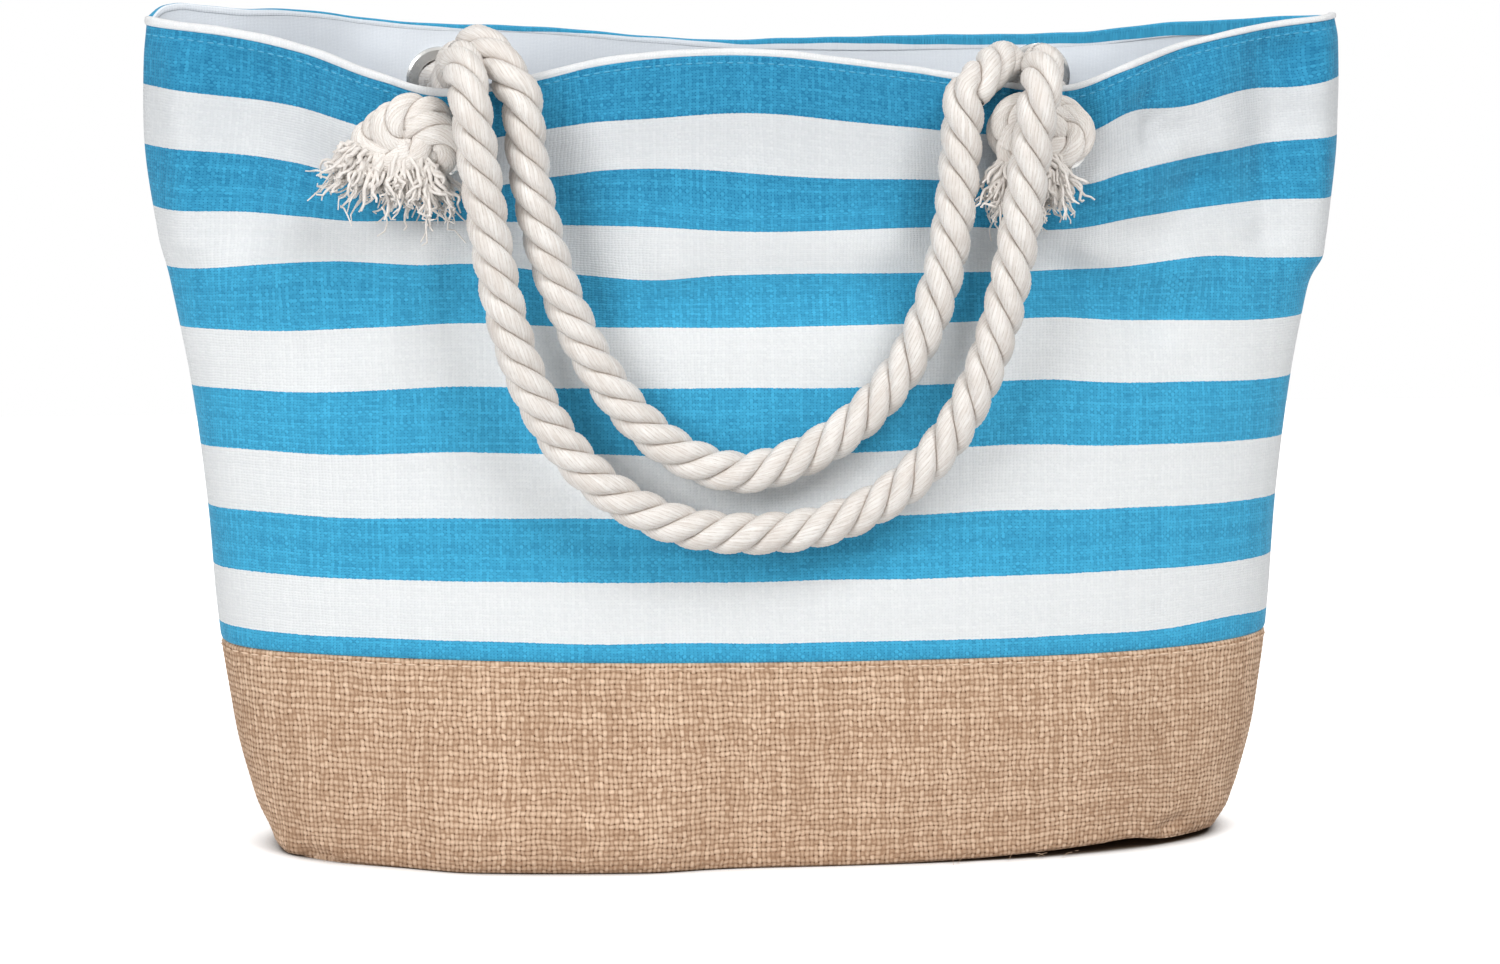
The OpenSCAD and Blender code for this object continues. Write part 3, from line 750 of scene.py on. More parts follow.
class Wire:
    """Output of a node. Sums, products and the like of wires add Math nodes to their tree."""

    def __init__(self, socket):
        self.socket, self.tree = socket, socket.id_data

    def __add__(self, other):
        return calc("ADD", self, other)

    def __sub__(self, other):
        return calc("SUBTRACT", self, other)

    def __rsub__(self, other):
        return calc("SUBTRACT", other, self)

    def __mul__(self, other):
        return calc("MULTIPLY", self, other)

    def __truediv__(self, other):
        return calc("DIVIDE", self, other)

    def __rtruediv__(self, other):
        return calc("DIVIDE", other, self)

    def __pow__(self, other):
        return calc("POWER", self, other)

    def to(self, socket):
        """Leads the wire to a node's input."""
        self.tree.links.new(self.socket, socket)


def add(tree, kind, inputs=None, **settings):
    """Adds a node, with its settings and with values or wires for its inputs."""
    made = tree.nodes.new(kind)
    for name, value in settings.items():
        setattr(made, name, value)
    for key, value in (inputs or {}).items():
        if isinstance(value, Wire):
            value.to(made.inputs[key])
        else:
            made.inputs[key].default_value = value
    return made


def wire(tree, kind, inputs=None, output=0, **settings):
    """One output of a node that is added for it."""
    return Wire(add(tree, kind, inputs, **settings).outputs[output])


def wires(sockets):
    """Wires from a node's outputs by their names."""
    return {socket.name: Wire(socket) for socket in sockets}


def calc(operation, *values, clamp=False):
    """Output of a Math node."""
    tree = next(value.tree for value in values if isinstance(value, Wire))
    return wire(tree, "ShaderNodeMath", dict(enumerate(values)), operation=operation, use_clamp=clamp)


def vector_calc(operation, *values, scale=None, output=0):
    """Output of a Vector Math node."""
    inputs = dict(enumerate(values)) if scale is None else {0: values[0], "Scale": scale}
    return wire(values[0].tree, "ShaderNodeVectorMath", inputs, output, operation=operation)


def axes(vector):
    """The three values of a vector."""
    return [Wire(socket) for socket in add(vector.tree, "ShaderNodeSeparateXYZ", {0: vector}).outputs]


def blend_colours(share, first, second):
    """Output of a colour Mix node."""
    first, second = [value if isinstance(value, Wire) else (*value, 1) for value in (first, second)]
    inputs = {0: share, 6: first, 7: second}
    return wire(share.tree, "ShaderNodeMix", inputs, 2, data_type="RGBA", clamp_factor=True)


def span(value, low, high, to_low=0.0, to_high=1.0):
    """Output of a clamped Map Range node."""
    inputs = {0: value, 1: low, 2: high, 3: to_low, 4: to_high}
    return wire(value.tree, "ShaderNodeMapRange", inputs, clamp=True)


def noise(vector, scale, detail=2.0, output=0):
    """Output of a Noise Texture node."""
    return wire(vector.tree, "ShaderNodeTexNoise", {"Vector": vector, "Scale": scale, "Detail": detail}, output)


def own_shade(place, dimensions="1D"):
    """A random value for each thread, or for each crossing of two."""
    key = "W" if dimensions == "1D" else "Vector"
    return wire(place.tree, "ShaderNodeTexWhiteNoise", {key: place}, noise_dimensions=dimensions)


def point_field(tree, label):
    """A piece's named number at its points."""
    return wire(tree, "ShaderNodeAttribute", output="Fac", attribute_name=label)


def shared(kept, name, maker, *values):
    """A material or node tree by its name, made on first use."""
    return kept.get(name) or maker(name, *values)


def new_tree(name, kind, inputs, outputs):
    """A node tree with named sockets, wires from its inputs, and the sockets of its outputs."""
    tree = bpy.data.node_groups.new(name, kind)
    for direction, sockets in (("INPUT", inputs), ("OUTPUT", outputs)):
        for label, value in sockets.items():
            tree.interface.new_socket(label, in_out=direction, socket_type="NodeSocket" + value)
    return tree, wires(tree.nodes.new("NodeGroupInput").outputs), tree.nodes.new("NodeGroupOutput").inputs


def plain_weave(name):
    """Group that turns thread coordinates into a plain weave's height, a mask of its gaps for painted shade, and
    thread tones.
    """
    tree, given, result = new_tree(name, "ShaderNodeTree", {"Threads": "Vector", "Unevenness": "Float"},
                                   {"Height": "Float", "Gap": "Float", "Shade": "Float"})
    threads = axes(given["Threads"])[:2]
    cells = [calc("FLOOR", axis) for axis in threads]
    across = [calc("FRACT", axis) - 0.5 for axis in threads]
    over = 1.0 - calc("FLOORED_MODULO", cells[0] + cells[1], 2.0) * 2.0
    tops = []
    for k, sense in ((0, 0.5), (1, -0.5)):
        crown = 1.0 - across[k] ** 2.0 * 4.0
        tops.append(crown + over * sense * calc("COSINE", across[1 - k] * math.pi))
    height = calc("MAXIMUM", *tops) / 1.5
    warp_up = calc("GREATER_THAN", *tops)
    shade = warp_up * own_shade(cells[0]) + (1.0 - warp_up) * own_shade(cells[1] + 0.37)
    crossing = wire(tree, "ShaderNodeCombineXYZ", {0: cells[0], 1: cells[1]})
    corner = vector_calc("FLOOR", vector_calc("ADD", given["Threads"], (0.5, 0.5, 0.0)))
    closed = 1.0 - given["Unevenness"] * own_shade(corner, "2D")
    height.to(result["Height"])
    # Mask of the gaps between the threads, which the materials use for painted shade
    (span(height, 0.18, 0.5, 1.0, 0.0) * closed).to(result["Gap"])
    (shade * 0.55 + own_shade(crossing, "2D") * 0.45).to(result["Shade"])
    return tree


def fibre_streaks(name):
    """Group that turns yarn coordinates into fine streaks along the yarn and slow stains."""
    tree, given, result = new_tree(name, "ShaderNodeTree", {"Yarn": "Vector", "Fineness": "Float"},
                                   {"Streak": "Float", "Stain": "Float"})
    stretched = vector_calc("MULTIPLY", given["Yarn"], (1.0, 0.09, 1.0))
    noise(stretched, given["Fineness"], 3.0).to(result["Streak"])
    noise(given["Yarn"], 60.0).to(result["Stain"])
    return tree


def placed_group(tree, name, maker, inputs):
    """Wires from a shared node group that is placed in a material."""
    group = shared(bpy.data.node_groups, name, maker)
    return wires(add(tree, "ShaderNodeGroup", inputs, node_tree=group).outputs)


def new_material(name, roughness, specular, sheen=0.0, metallic=0.0):
    """A material with only its Principled shader, whose plain values are set on its own sockets."""
    material = bpy.data.materials.new(name)
    material.use_nodes = True
    shader = material.node_tree.nodes["Principled BSDF"]
    for label, value in (("Roughness", roughness), ("Specular IOR Level", specular),
                         ("Sheen Weight", sheen), ("Metallic", metallic)):
        shader.inputs[label].default_value = value
    return material, material.node_tree, shader.inputs


def cloth_coordinates(tree, pitch, row, uneven):
    """A piece's cloth coordinates in metres, and a weave group fed with them in slightly wandering threads."""
    uv = wire(tree, "ShaderNodeUVMap", uv_map=CLOTH_MAP)
    drift = vector_calc("SUBTRACT", noise(uv, 0.3 / pitch, 1.0, "Color"), (0.5, 0.5, 0.5))
    drift = vector_calc("SCALE", drift, scale=1.3 * uneven)
    threads = vector_calc("ADD", vector_calc("MULTIPLY", uv, (1 / pitch, 1 / row, 1.0)), drift)
    return uv, placed_group(tree, "Plain weave", plain_weave, {"Threads": threads, "Unevenness": uneven})


def bump(inputs, height, depth, strength):
    """Gives a shader the relief of a height, whose full step is depth metres."""
    relief = {"Height": height, "Distance": depth, "Strength": strength}
    wire(height.tree, "ShaderNodeBump", relief).to(inputs["Normal"])


def canvas_material(name, tote):
    """Striped canvas: blue and white bands by the cloth's level, with uneven threads, painted shade in the weave's
    gaps and painted shade that darkens it towards the rim.
    """
    material, tree, inputs = new_material(name, roughness=0.85, specular=0.25, sheen=0.12)
    bag, tints = tote.bag, tote.tints
    uv, weave = cloth_coordinates(tree, bag.canvas_pitch, bag.canvas_row, uneven=0.7)
    level = axes(uv)[1]
    ragged = (noise(uv, 900.0) - 0.5) * (0.8 * MM)
    down = bag.stripe_top - (level + ragged)
    white = calc("GREATER_THAN", calc("FRACT", down / (2 * bag.stripe)), 0.5)
    patches = span(noise(uv, 220.0, 3.0), 0.35, 0.7)
    # Painted shade: both stripes darken from 130 millimetres below the rim, fully from 30 millimetres below it.
    painted_rim_shade = span(level, bag.height - 130 * MM, bag.height - 30 * MM)
    # Thread tones and slow patches, with painted shade in the weave's gaps
    shade = weave["Shade"] * 0.6 + weave["Gap"] * 0.9 - 0.12 + patches * 0.12
    blue = blend_colours(shade + painted_rim_shade * 0.38, tints.blue, tints.blue_dark)
    pale = blend_colours(shade * 0.7 + painted_rim_shade * 0.6, tints.white, tints.white_dark)
    blend_colours(white, blue, pale).to(inputs["Base Color"])
    bump(inputs, weave["Height"], 0.25 * MM, 0.8)
    return material


def jute_material(name, tote):
    """Jute: thick uneven threads and fibres along them, with painted shade away from the threads' crowns and in
    the gaps between them.
    """
    material, tree, inputs = new_material(name, roughness=0.9, specular=0.2, sheen=0.05)
    bag, tints = tote.bag, tote.tints
    uv, weave = cloth_coordinates(tree, bag.jute_pitch, bag.jute_row, uneven=0.85)
    fibres = noise(uv, 2200.0, 3.0) - 0.5
    # Thread tones, and painted shade that darkens the threads away from their crowns
    shade = weave["Shade"] * 0.75 + span(weave["Height"], 0.35, 1.0, 1.0, 0.0) * 0.75
    shade = shade + (noise(uv, 90.0, 3.0) - 0.5) * 0.5 + fibres * 0.7
    thread = blend_colours(shade, tints.jute, tints.jute_dark)
    # Painted shade in the gaps between the threads
    gap = calc("MULTIPLY", weave["Gap"], 1.25, clamp=True)
    blend_colours(gap, thread, tints.jute_gap_shade).to(inputs["Base Color"])
    bump(inputs, weave["Height"] + fibres * 0.5, 0.3 * MM, 0.7)
    return material


def plain_cloth_material(name, pitch, light, dark, depth, lined=None):
    """Plain woven cloth for the lining and the turned edges, with a second pair of tints where it is lined."""
    material, tree, inputs = new_material(name, roughness=0.8, specular=0.3, sheen=0.1)
    uv, weave = cloth_coordinates(tree, pitch, pitch, uneven=0.4)
    # Thread tones and a slow mottle, with painted shade in the weave's gaps
    shade = weave["Shade"] * 0.4 + weave["Gap"] * 0.4 + noise(uv, 40.0) * 0.3
    cloth = blend_colours(shade, light, dark)
    if lined:
        inside = calc("GREATER_THAN", point_field(tree, "lined"), 0.0)
        cloth = blend_colours(inside, cloth, blend_colours(shade, *lined))
    cloth.to(inputs["Base Color"])
    bump(inputs, weave["Height"], depth, 0.6)
    return material


def cotton_material(name, tote):
    """Twisted cotton: fibres along uneven yarns, with painted shade in broken lines between the yarns and in the
    grooves.
    """
    material, tree, inputs = new_material(name, roughness=0.92, specular=0.2, sheen=0.1)
    tints = tote.tints
    uv = wire(tree, "ShaderNodeUVMap", uv_map=CLOTH_MAP)
    fibres = placed_group(tree, "Fibre streaks", fibre_streaks, {"Yarn": uv, "Fineness": 1500.0})
    count = axes(uv)[0] * (tote.rope.yarns / (math.tau * YARN_SPAN))
    crown = calc("ABSOLUTE", calc("COSINE", count * math.pi))
    broken = span(noise(uv, 380.0), 0.38, 0.62, 0.1, 1.0)
    shade = span(fibres["Streak"], 0.35, 0.7) * 0.5 + span(fibres["Stain"], 0.4, 0.8) * 0.3
    shade = shade + own_shade(calc("FLOOR", count + 0.5)) * 0.3
    # Painted shade in broken lines between the yarns
    shade = shade + span(crown, 0.0, 0.5, 1.0, 0.0) * broken
    # Painted shade in the grooves between the strands, broken by noise
    groove = point_field(tree, "groove") * (broken * 0.4 + 0.6)
    cotton = blend_colours(shade, tints.rope, tints.rope_dark)
    blend_colours(groove, cotton, tints.rope_groove_shade).to(inputs["Base Color"])
    bump(inputs, fibres["Streak"], 0.6 * MM, 0.7)
    return material


def grained_material(name, light, dark, roughness, scale, metallic=0.0):
    """A finish with a fine uneven grain, such as thread, fibre or plated metal."""
    material, tree, inputs = new_material(name, roughness, 0.5 if metallic else 0.2, metallic=metallic)
    grain = noise(wire(tree, "ShaderNodeTexCoord", output="Object"), scale, 4.0)
    blend_colours(grain, light, dark).to(inputs["Base Color"])
    span(grain, 0.3, 0.7, roughness * 0.8, min(1.0, roughness * 1.3)).to(inputs["Roughness"])
    return material


def darker(tint, share):
    """A share of a tint's light."""
    return tuple(channel * share for channel in tint)


# Node trees for what repeats

def geometry_tree(name, sizes):
    """A geometry node tree with a mesh input, named sizes, a material and one geometry output."""
    shape = {"Geometry": "Geometry"}
    return new_tree(name, "GeometryNodeTree", shape | sizes | {"Material": "Material"}, shape)


def point_vector(tree, name):
    """Named vector of a mesh's points."""
    return wire(tree, "GeometryNodeInputNamedAttribute", {"Name": name}, data_type="FLOAT_VECTOR")


def dress(tree, shape, given, result):
    """Ends a tree: its shape as a plain, smooth mesh in the given material."""
    plain = wire(tree, "GeometryNodeRealizeInstances", {0: shape})
    smooth = wire(tree, "GeometryNodeSetShadeSmooth", {0: plain})
    dressed = wire(tree, "GeometryNodeSetMaterial", {"Geometry": smooth, "Material": given["Material"]})
    dressed.to(result["Geometry"])


def stitch_tree(name):
    """Tree that sets stitches along a line of edges, lying on the cloth."""
    tree, given, result = geometry_tree(name, {"Pitch": "Float", "Stitch length": "Float", "Thread": "Float"})
    line = wire(tree, "GeometryNodeMeshToCurve", {0: given["Geometry"]})
    marks = wire(tree, "GeometryNodeResampleCurve", {"Curve": line, "Length": given["Pitch"]}, mode="LENGTH")
    tangent = wire(tree, "GeometryNodeInputTangent")
    lying = wire(tree, "FunctionNodeAlignRotationToVector", {"Vector": tangent}, axis="X")
    lying = wire(tree, "FunctionNodeAlignRotationToVector",
                 {"Rotation": lying, "Vector": point_vector(tree, "outward")}, axis="Z", pivot_axis="X")
    bead = wire(tree, "GeometryNodeMeshUVSphere", {"Segments": 8, "Rings": 5, "Radius": 0.5})
    size = wire(tree, "ShaderNodeCombineXYZ", {0: given["Stitch length"], 1: given["Thread"], 2: given["Thread"]})
    beads = wire(tree, "GeometryNodeInstanceOnPoints",
                 {"Points": marks, "Instance": bead, "Rotation": lying, "Scale": size})
    dress(tree, beads, given, result)
    return tree


def loose_yarn_tree(name):
    """Tree that grows curly yarns from root points, along each root's direction and length."""
    tree, given, result = geometry_tree(
        name, {"Curl": "Float", "Curl size": "Float", "Droop": "Float", "Seed": "Int"})
    roots = wire(tree, "GeometryNodeMeshToPoints", {0: given["Geometry"]})
    yarn = wire(tree, "GeometryNodeCurvePrimitiveLine", {"Start": (0, 0, 0), "End": (0, 0, 1)})
    yarn = wire(tree, "GeometryNodeResampleCurve", {"Curve": yarn, "Count": 13}, mode="COUNT")
    heading = point_vector(tree, "heading")
    reach = vector_calc("LENGTH", heading, output="Value")
    facing = wire(tree, "FunctionNodeAlignRotationToVector", {"Vector": heading}, axis="Z")
    yarns = wire(tree, "GeometryNodeInstanceOnPoints",
                 {"Points": roots, "Instance": yarn, "Rotation": facing, "Scale": reach})
    lines = wire(tree, "GeometryNodeRealizeInstances", {0: yarns})
    along = wire(tree, "GeometryNodeSplineParameter", output="Factor")
    place = wire(tree, "GeometryNodeInputPosition")
    number_of_yarn = wire(tree, "GeometryNodeCurveOfPoint", output="Curve Index")
    own = wire(tree, "FunctionNodeRandomValue",
               {0: (0, 0, 0), 1: (1, 1, 1), "ID": number_of_yarn, "Seed": given["Seed"]}, data_type="FLOAT_VECTOR")
    curl = noise(vector_calc("ADD", place, own), 1.0 / given["Curl size"], 1.0, "Color")
    curl = vector_calc("SUBTRACT", curl, (0.5, 0.5, 0.5))
    curl = vector_calc("SCALE", curl, scale=along ** 0.8 * given["Curl"])
    sag = wire(tree, "ShaderNodeCombineXYZ", {2: along ** 2.0 * (given["Droop"] * -1.0)})
    moved = wire(tree, "GeometryNodeSetPosition", {"Geometry": lines, "Offset": vector_calc("ADD", curl, sag)})
    section = wire(tree, "GeometryNodeCurvePrimitiveCircle", {"Resolution": 5, "Radius": 1.0})
    girth = wire(tree, "GeometryNodeInputNamedAttribute", {"Name": "girth"}, data_type="FLOAT")
    girth = girth * span(along, 0.5, 1.0, 1.0, 0.5)
    tubes = wire(tree, "GeometryNodeCurveToMesh",
                 {"Curve": moved, "Profile Curve": section, "Scale": girth, "Fill Caps": True})
    dress(tree, tubes, given, result)
    return tree


def grown(name, points, edges, fields, tree, values):
    """Runs a node tree on points that carry named values, and keeps the result as a plain mesh object."""
    seedbed = bpy.data.meshes.new(name + "_base")
    seedbed.from_pydata(np.asarray(points, float).tolist(), edges, [])
    for label, rows in fields.items():
        set_field(seedbed, label, rows)
    holder = linked(name + "_base", seedbed)
    modifier = holder.modifiers.new("Nodes", "NODES")
    modifier.node_group = tree
    for socket in tree.interface.items_tree:
        if socket.in_out == "INPUT" and socket.name in values:
            modifier[socket.identifier] = values[socket.name]
    depsgraph = bpy.context.evaluated_depsgraph_get()
    mesh = bpy.data.meshes.new_from_object(holder.evaluated_get(depsgraph), depsgraph=depsgraph)
    bpy.data.objects.remove(holder)
    mesh.name = name
    if not mesh.polygons:
        raise RuntimeError(f"{name}: its node tree made no faces")
    return linked(name, mesh)


def loose_yarns(name, roots, heading, girth, material, seed, curl, curl_size, droop):
    """Curly yarns from root points, with their curl and droop in millimetres."""
    tree = shared(bpy.data.node_groups, "Loose yarns", loose_yarn_tree)
    values = {"Curl": curl * MM, "Curl size": curl_size * MM, "Droop": droop * MM,
              "Seed": seed, "Material": material}
    return grown(name, roots, [], {"heading": heading, "girth": girth}, tree, values)


# Operators

def fit(piece, slot, *nodes):
    """Lets a piece ride on the bag and hides the CAD nodes that it dresses; the slot is not used."""
    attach(piece, "bag")
    if nodes:
        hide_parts(*nodes)


def corner_name(side, end, what):
    """Name of a part at one of the four eyelets."""
    return f"{SIDE_NAMES[side]}_{END_NAMES[end]}_{what}"


class TOTE_OT_stage(bpy.types.Operator):
    """Make the camera, the pale floor and the soft studio light"""

    bl_idname = "tote.stage"
    bl_label = "Stage"

    # Place and size of each lamp in metres
    LAMPS = {
        "key": ((1.2, -1.95, 2.5), (1.3, 1.3)), "fill": ((-1.9, -2.2, 1.3), (1.5, 1.5)),
        "top": ((0.1, 0.3, 2.4), (2.4, 2.0)), "back": ((-0.8, 2.6, 1.3), (2.0, 1.6)),
    }
    FLOOR_NEAR, FLOOR_FAR, FLOOR_HALF_WIDTH = -2.5, 1.2, 2.5
    SHADOW_REACH = 60 * MM

    def lamp(self, name, power, aim):
        """A soft lamp that points at the bag."""
        place, size = self.LAMPS[name]
        light = bpy.data.lights.new(name, "AREA")
        light.shape, light.size, light.size_y, light.energy = "RECTANGLE", size[0], size[1], power
        holder = linked(name, light)
        holder.location = place
        holder.rotation_euler = (aim - Vector(place)).to_track_quat("-Z", "Y").to_euler()

    def shown_rays(self, tree):
        """1 for rays that see the backdrop itself, straight or in metal."""
        rays = wires(add(tree, "ShaderNodeLightPath").outputs)
        seen = rays["Is Camera Ray"] + rays["Is Glossy Ray"]
        return calc("ADD", seen, rays["Is Transmission Ray"], clamp=True)

    def camera(self, scene, stage, aim):
        """The camera, which looks at the front of the bag."""
        lens = bpy.data.cameras.new("camera")
        lens.sensor_width, lens.lens = 36.0, stage.lens
        lens.shift_x, lens.shift_y = stage.shift_x, stage.shift_y
        camera = linked("camera", lens)
        away = Vector((math.sin(stage.azimuth) * math.cos(stage.elevation),
                       -math.cos(stage.azimuth) * math.cos(stage.elevation), math.sin(stage.elevation)))
        camera.location = aim + away * stage.distance
        camera.rotation_euler = (-away).to_track_quat("-Z", "Y").to_euler()
        scene.camera = camera

    def floor(self, stage):
        """White paper with a painted contact shadow: its colour turns dark close to the bag, where its glow also
        fades.
        """
        near, far, wide = self.FLOOR_NEAR, self.FLOOR_FAR, self.FLOOR_HALF_WIDTH
        corners = [(-wide, near, 0), (wide, near, 0), (wide, far, 0), (-wide, far, 0)]
        material, tree, inputs = new_material("floor_paper", roughness=0.9, specular=0.0)
        inputs["Emission Color"].default_value = (1, 1, 1, 1)
        nearness = wire(tree, "ShaderNodeAmbientOcclusion", {"Distance": self.SHADOW_REACH}, "AO")
        # Painted contact shadow: the paper's colour turns dark brown where the bag is near.
        paper = blend_colours(span(nearness, 0.2, 0.6), (0.16, 0.12, 0.09), (0.86, 0.86, 0.86))
        paper.to(inputs["Base Color"])
        glow = span(nearness, 0.25, 0.62) * stage.glow
        (self.shown_rays(tree) * glow).to(inputs["Emission Strength"])
        return new_piece("floor", corners, [(0, 1, 2, 3)], material=material)

    def execute(self, context):
        scene, stage = context.scene, context.scene.tote_stage
        scene.view_settings.view_transform = "Standard"
        aim = Vector((0, 0, stage.target))
        self.camera(scene, stage, aim)
        for name in self.LAMPS:
            self.lamp(name, getattr(stage, name), aim)
        world = bpy.data.worlds.new("studio")
        world.use_nodes = True
        backdrop = world.node_tree.nodes["Background"].inputs
        span(self.shown_rays(world.node_tree), 0.0, 1.0, stage.ambient, 1.0).to(backdrop["Strength"])
        backdrop["Color"].default_value = (1, 1, 1, 1)
        scene.world = world
        self.floor(stage)
        return {"FINISHED"}


class TOTE_OT_knots(bpy.types.Operator):
    """Tie the stopper knot at each end of the ropes, outside its eyelet"""

    bl_idname = "tote.knots"
    bl_label = "Stopper knots"

    # Middle of each knot from its eyelet in millimetres, its turn in degrees, and its stretch across and up
    PLACES = {
        (FRONT, LEFT): (-14, 2.6, 80, 1.19, 0.77), (FRONT, RIGHT): (-12, 0.8, 20, 1.11, 0.93),
        (BACK, LEFT): (-9, -4, 95, 1.1, 0.76), (BACK, RIGHT): (9, -6, 85, 1.1, 0.74),
    }
    # Radius of the rope in a knot, how far it climbs over itself, and its lay as a share of the handles'
    ROPE_RADIUS, CROSSING, LAY_SHARE = 7.6 * MM, 2.6 * MM, 0.85
    # Shares of the reach for the ring and for the lobes of the rope's way
    RING, LOBES = 0.69, 0.31
    STEP = 1.2 * MM

    def execute(self, context):
        tote = Tote(context.scene)
        rope = tote.rope
        squash = (rope.knot_thickness / 2 - self.CROSSING) / self.ROPE_RADIUS
        wide = rope.knot_reach - self.ROPE_RADIUS
        phi = np.linspace(0.95 * math.pi, 5.05 * math.pi, 51)
        reach = self.RING * wide + self.LOBES * wide * np.cos(1.5 * phi)
        for side, end in CORNERS:
            name = corner_name(side, end, "knot")
            shift_x, shift_z, turned, across, up = self.PLACES[side, end]
            spin = phi * end + math.radians(turned)
            way = np.stack([across * reach * np.cos(spin), self.CROSSING / squash * np.sin(1.5 * phi),
                            up * reach * np.sin(spin)], -1)
            path, along, _ = smooth_path(way, self.STEP)
            piece = laid_rope(tote, name + "_turns", path, along, path_frames(path), self.ROPE_RADIUS,
                              rope.lay * self.LAY_SHARE)
            points = mesh_points(piece) * (1, squash, 1) + tote.by_eyelet(side, end, shift_x, shift_z)
            set_mesh_points(piece, points)
            fit(piece, "cotton_rope", name)
        return {"FINISHED"}


class TOTE_OT_frays(bpy.types.Operator):
    """Grow the frayed yarns that hang out of each knot"""

    bl_idname = "tote.frays"
    bl_label = "Frayed ends"

    # Root of each frayed end from its eyelet, half width and rise to the left, in millimetres,
    # then its fan: middle in degrees from straight down towards the left, and spread
    FANS = {
        (FRONT, LEFT): (-21, -7, 18, 4, 12, 44), (FRONT, RIGHT): (-17, -11, 12, -1, -4, 22),
        (BACK, LEFT): (-9, -12, 13, 2, -8, 36), (BACK, RIGHT): (9, -14, 13, -2, 8, 36),
    }
    YARNS, SEED = 300, 20
    # Scatter of the yarns' directions in degrees and of their roots' height in millimetres
    SWING_SCATTER, ROOT_SCATTER = 14, 5
    # Middle and half depth of the roots outward from the knot, in millimetres, and the lean of the outermost yarns
    ROOT_OUT, ROOT_DEPTH, LEAN = 2.5, 3.5, math.radians(24)

    def execute(self, context):
        tote = Tote(context.scene)
        rope, tints, count = tote.rope, tote.tints, self.YARNS
        cotton = shared(bpy.data.materials, "yarn_cotton", grained_material, tints.rope, tints.rope_dark,
                        0.92, 900.0)
        for order, (side, end) in enumerate(CORNERS):
            name = corner_name(side, end, "fray")
            draw = np.random.default_rng(self.SEED + order)
            root_x, root_z, half, rise, middle, spread = self.FANS[side, end]
            share = draw.uniform(-1, 1, count)
            swing = np.radians(middle + spread * share + draw.normal(0, self.SWING_SCATTER, count))
            depth = draw.uniform(-1, 1, count)
            scatter = draw.uniform(-self.ROOT_SCATTER, self.ROOT_SCATTER, count)
            long = draw.uniform(0, 1, count) ** 1.8
            x, y, z = tote.by_eyelet(side, end, root_x - half * share, root_z + rise * share + scatter)
            roots = np.stack([x, y + side * (self.ROOT_OUT + self.ROOT_DEPTH * depth) * MM, z], -1)
            reach = rope.fray_length * (0.4 + 0.85 * long)
            girth = rope.yarn_diameter / 2 * (1.15 - 0.6 * long)
            lean = self.LEAN * depth
            heading = np.stack([-np.sin(swing) * np.cos(lean), side * np.sin(lean),
                                -np.cos(swing) * np.cos(lean)], -1)
            piece = loose_yarns(name + "_yarns", roots, heading * reach[:, None], girth, cotton, seed=order,
                                curl=20, curl_size=7, droop=2)
            fit(piece, "cotton_yarn", name)
        return {"FINISHED"}


class TOTE_OT_handles(bpy.types.Operator):
    """Lay the two rope handles from knot to knot"""

    bl_idname = "tote.handles"
    bl_label = "Rope handles"

    # Point of each route at which its end pieces stop, counted from the knots
    CUT = {FRONT: 9, BACK: 5}
    BODIES = {FRONT: ("bag", "front_bends", "front_handle"), BACK: ("bag", "back_spans", "back_handle")}
    MIDDLE = {FRONT: "bend", BACK: "span"}
    # Stretches over which the rope bends, from (y, z) to (y, z) in millimetres
    FIRST_BEND = {FRONT: ((-28.5, 325.9), (-34.9, 337)), BACK: ((27, 323.8), (3, 323.8))}
    SECOND_BEND = {FRONT: ((-59.0, 337.9), (-74.4, 325.1)), BACK: ((-32, 345), (-64, 319))}
    STEP = 1.9 * MM

    def stretch(self, bend):
        """Start and end of a bend in metres."""
        return [(0, y * MM, z * MM) for y, z in bend]

    def execute(self, context):
        tote = Tote(context.scene)
        rope = tote.rope
        for side in SIDES:
            label, (root, middle, handle) = SIDE_NAMES[side], self.BODIES[side]
            route = tote.route(side)
            path, along, marks = smooth_path(route, self.STEP)
            frames = path_frames(path)
            first, last = [int(np.argmin(np.abs(along - marks[i])))
                           for i in (self.CUT[side], len(route) - 1 - self.CUT[side])]
            stretches = (("left", "left_rope_stub", 0, first), ("handle", "rope_handle", first, last),
                         ("right", "right_rope_stub", last, len(path) - 1))
            made = {}
            for part, name, start, stop in stretches:
                keep = slice(start, stop + 1)
                made[part] = laid_rope(tote, f"{label}_{name}", path[keep], along[keep], [f[keep] for f in frames],
                                       tote.radius, rope.lay)
            for part in ("left", "right"):
                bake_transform(made[part])
                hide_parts(f"{label}_{part}_rope_end", f"{label}_{part}_rope_{self.MIDDLE[side]}")
            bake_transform(made["handle"])
            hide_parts(f"{label}_rope_loop")
        return {"FINISHED"}


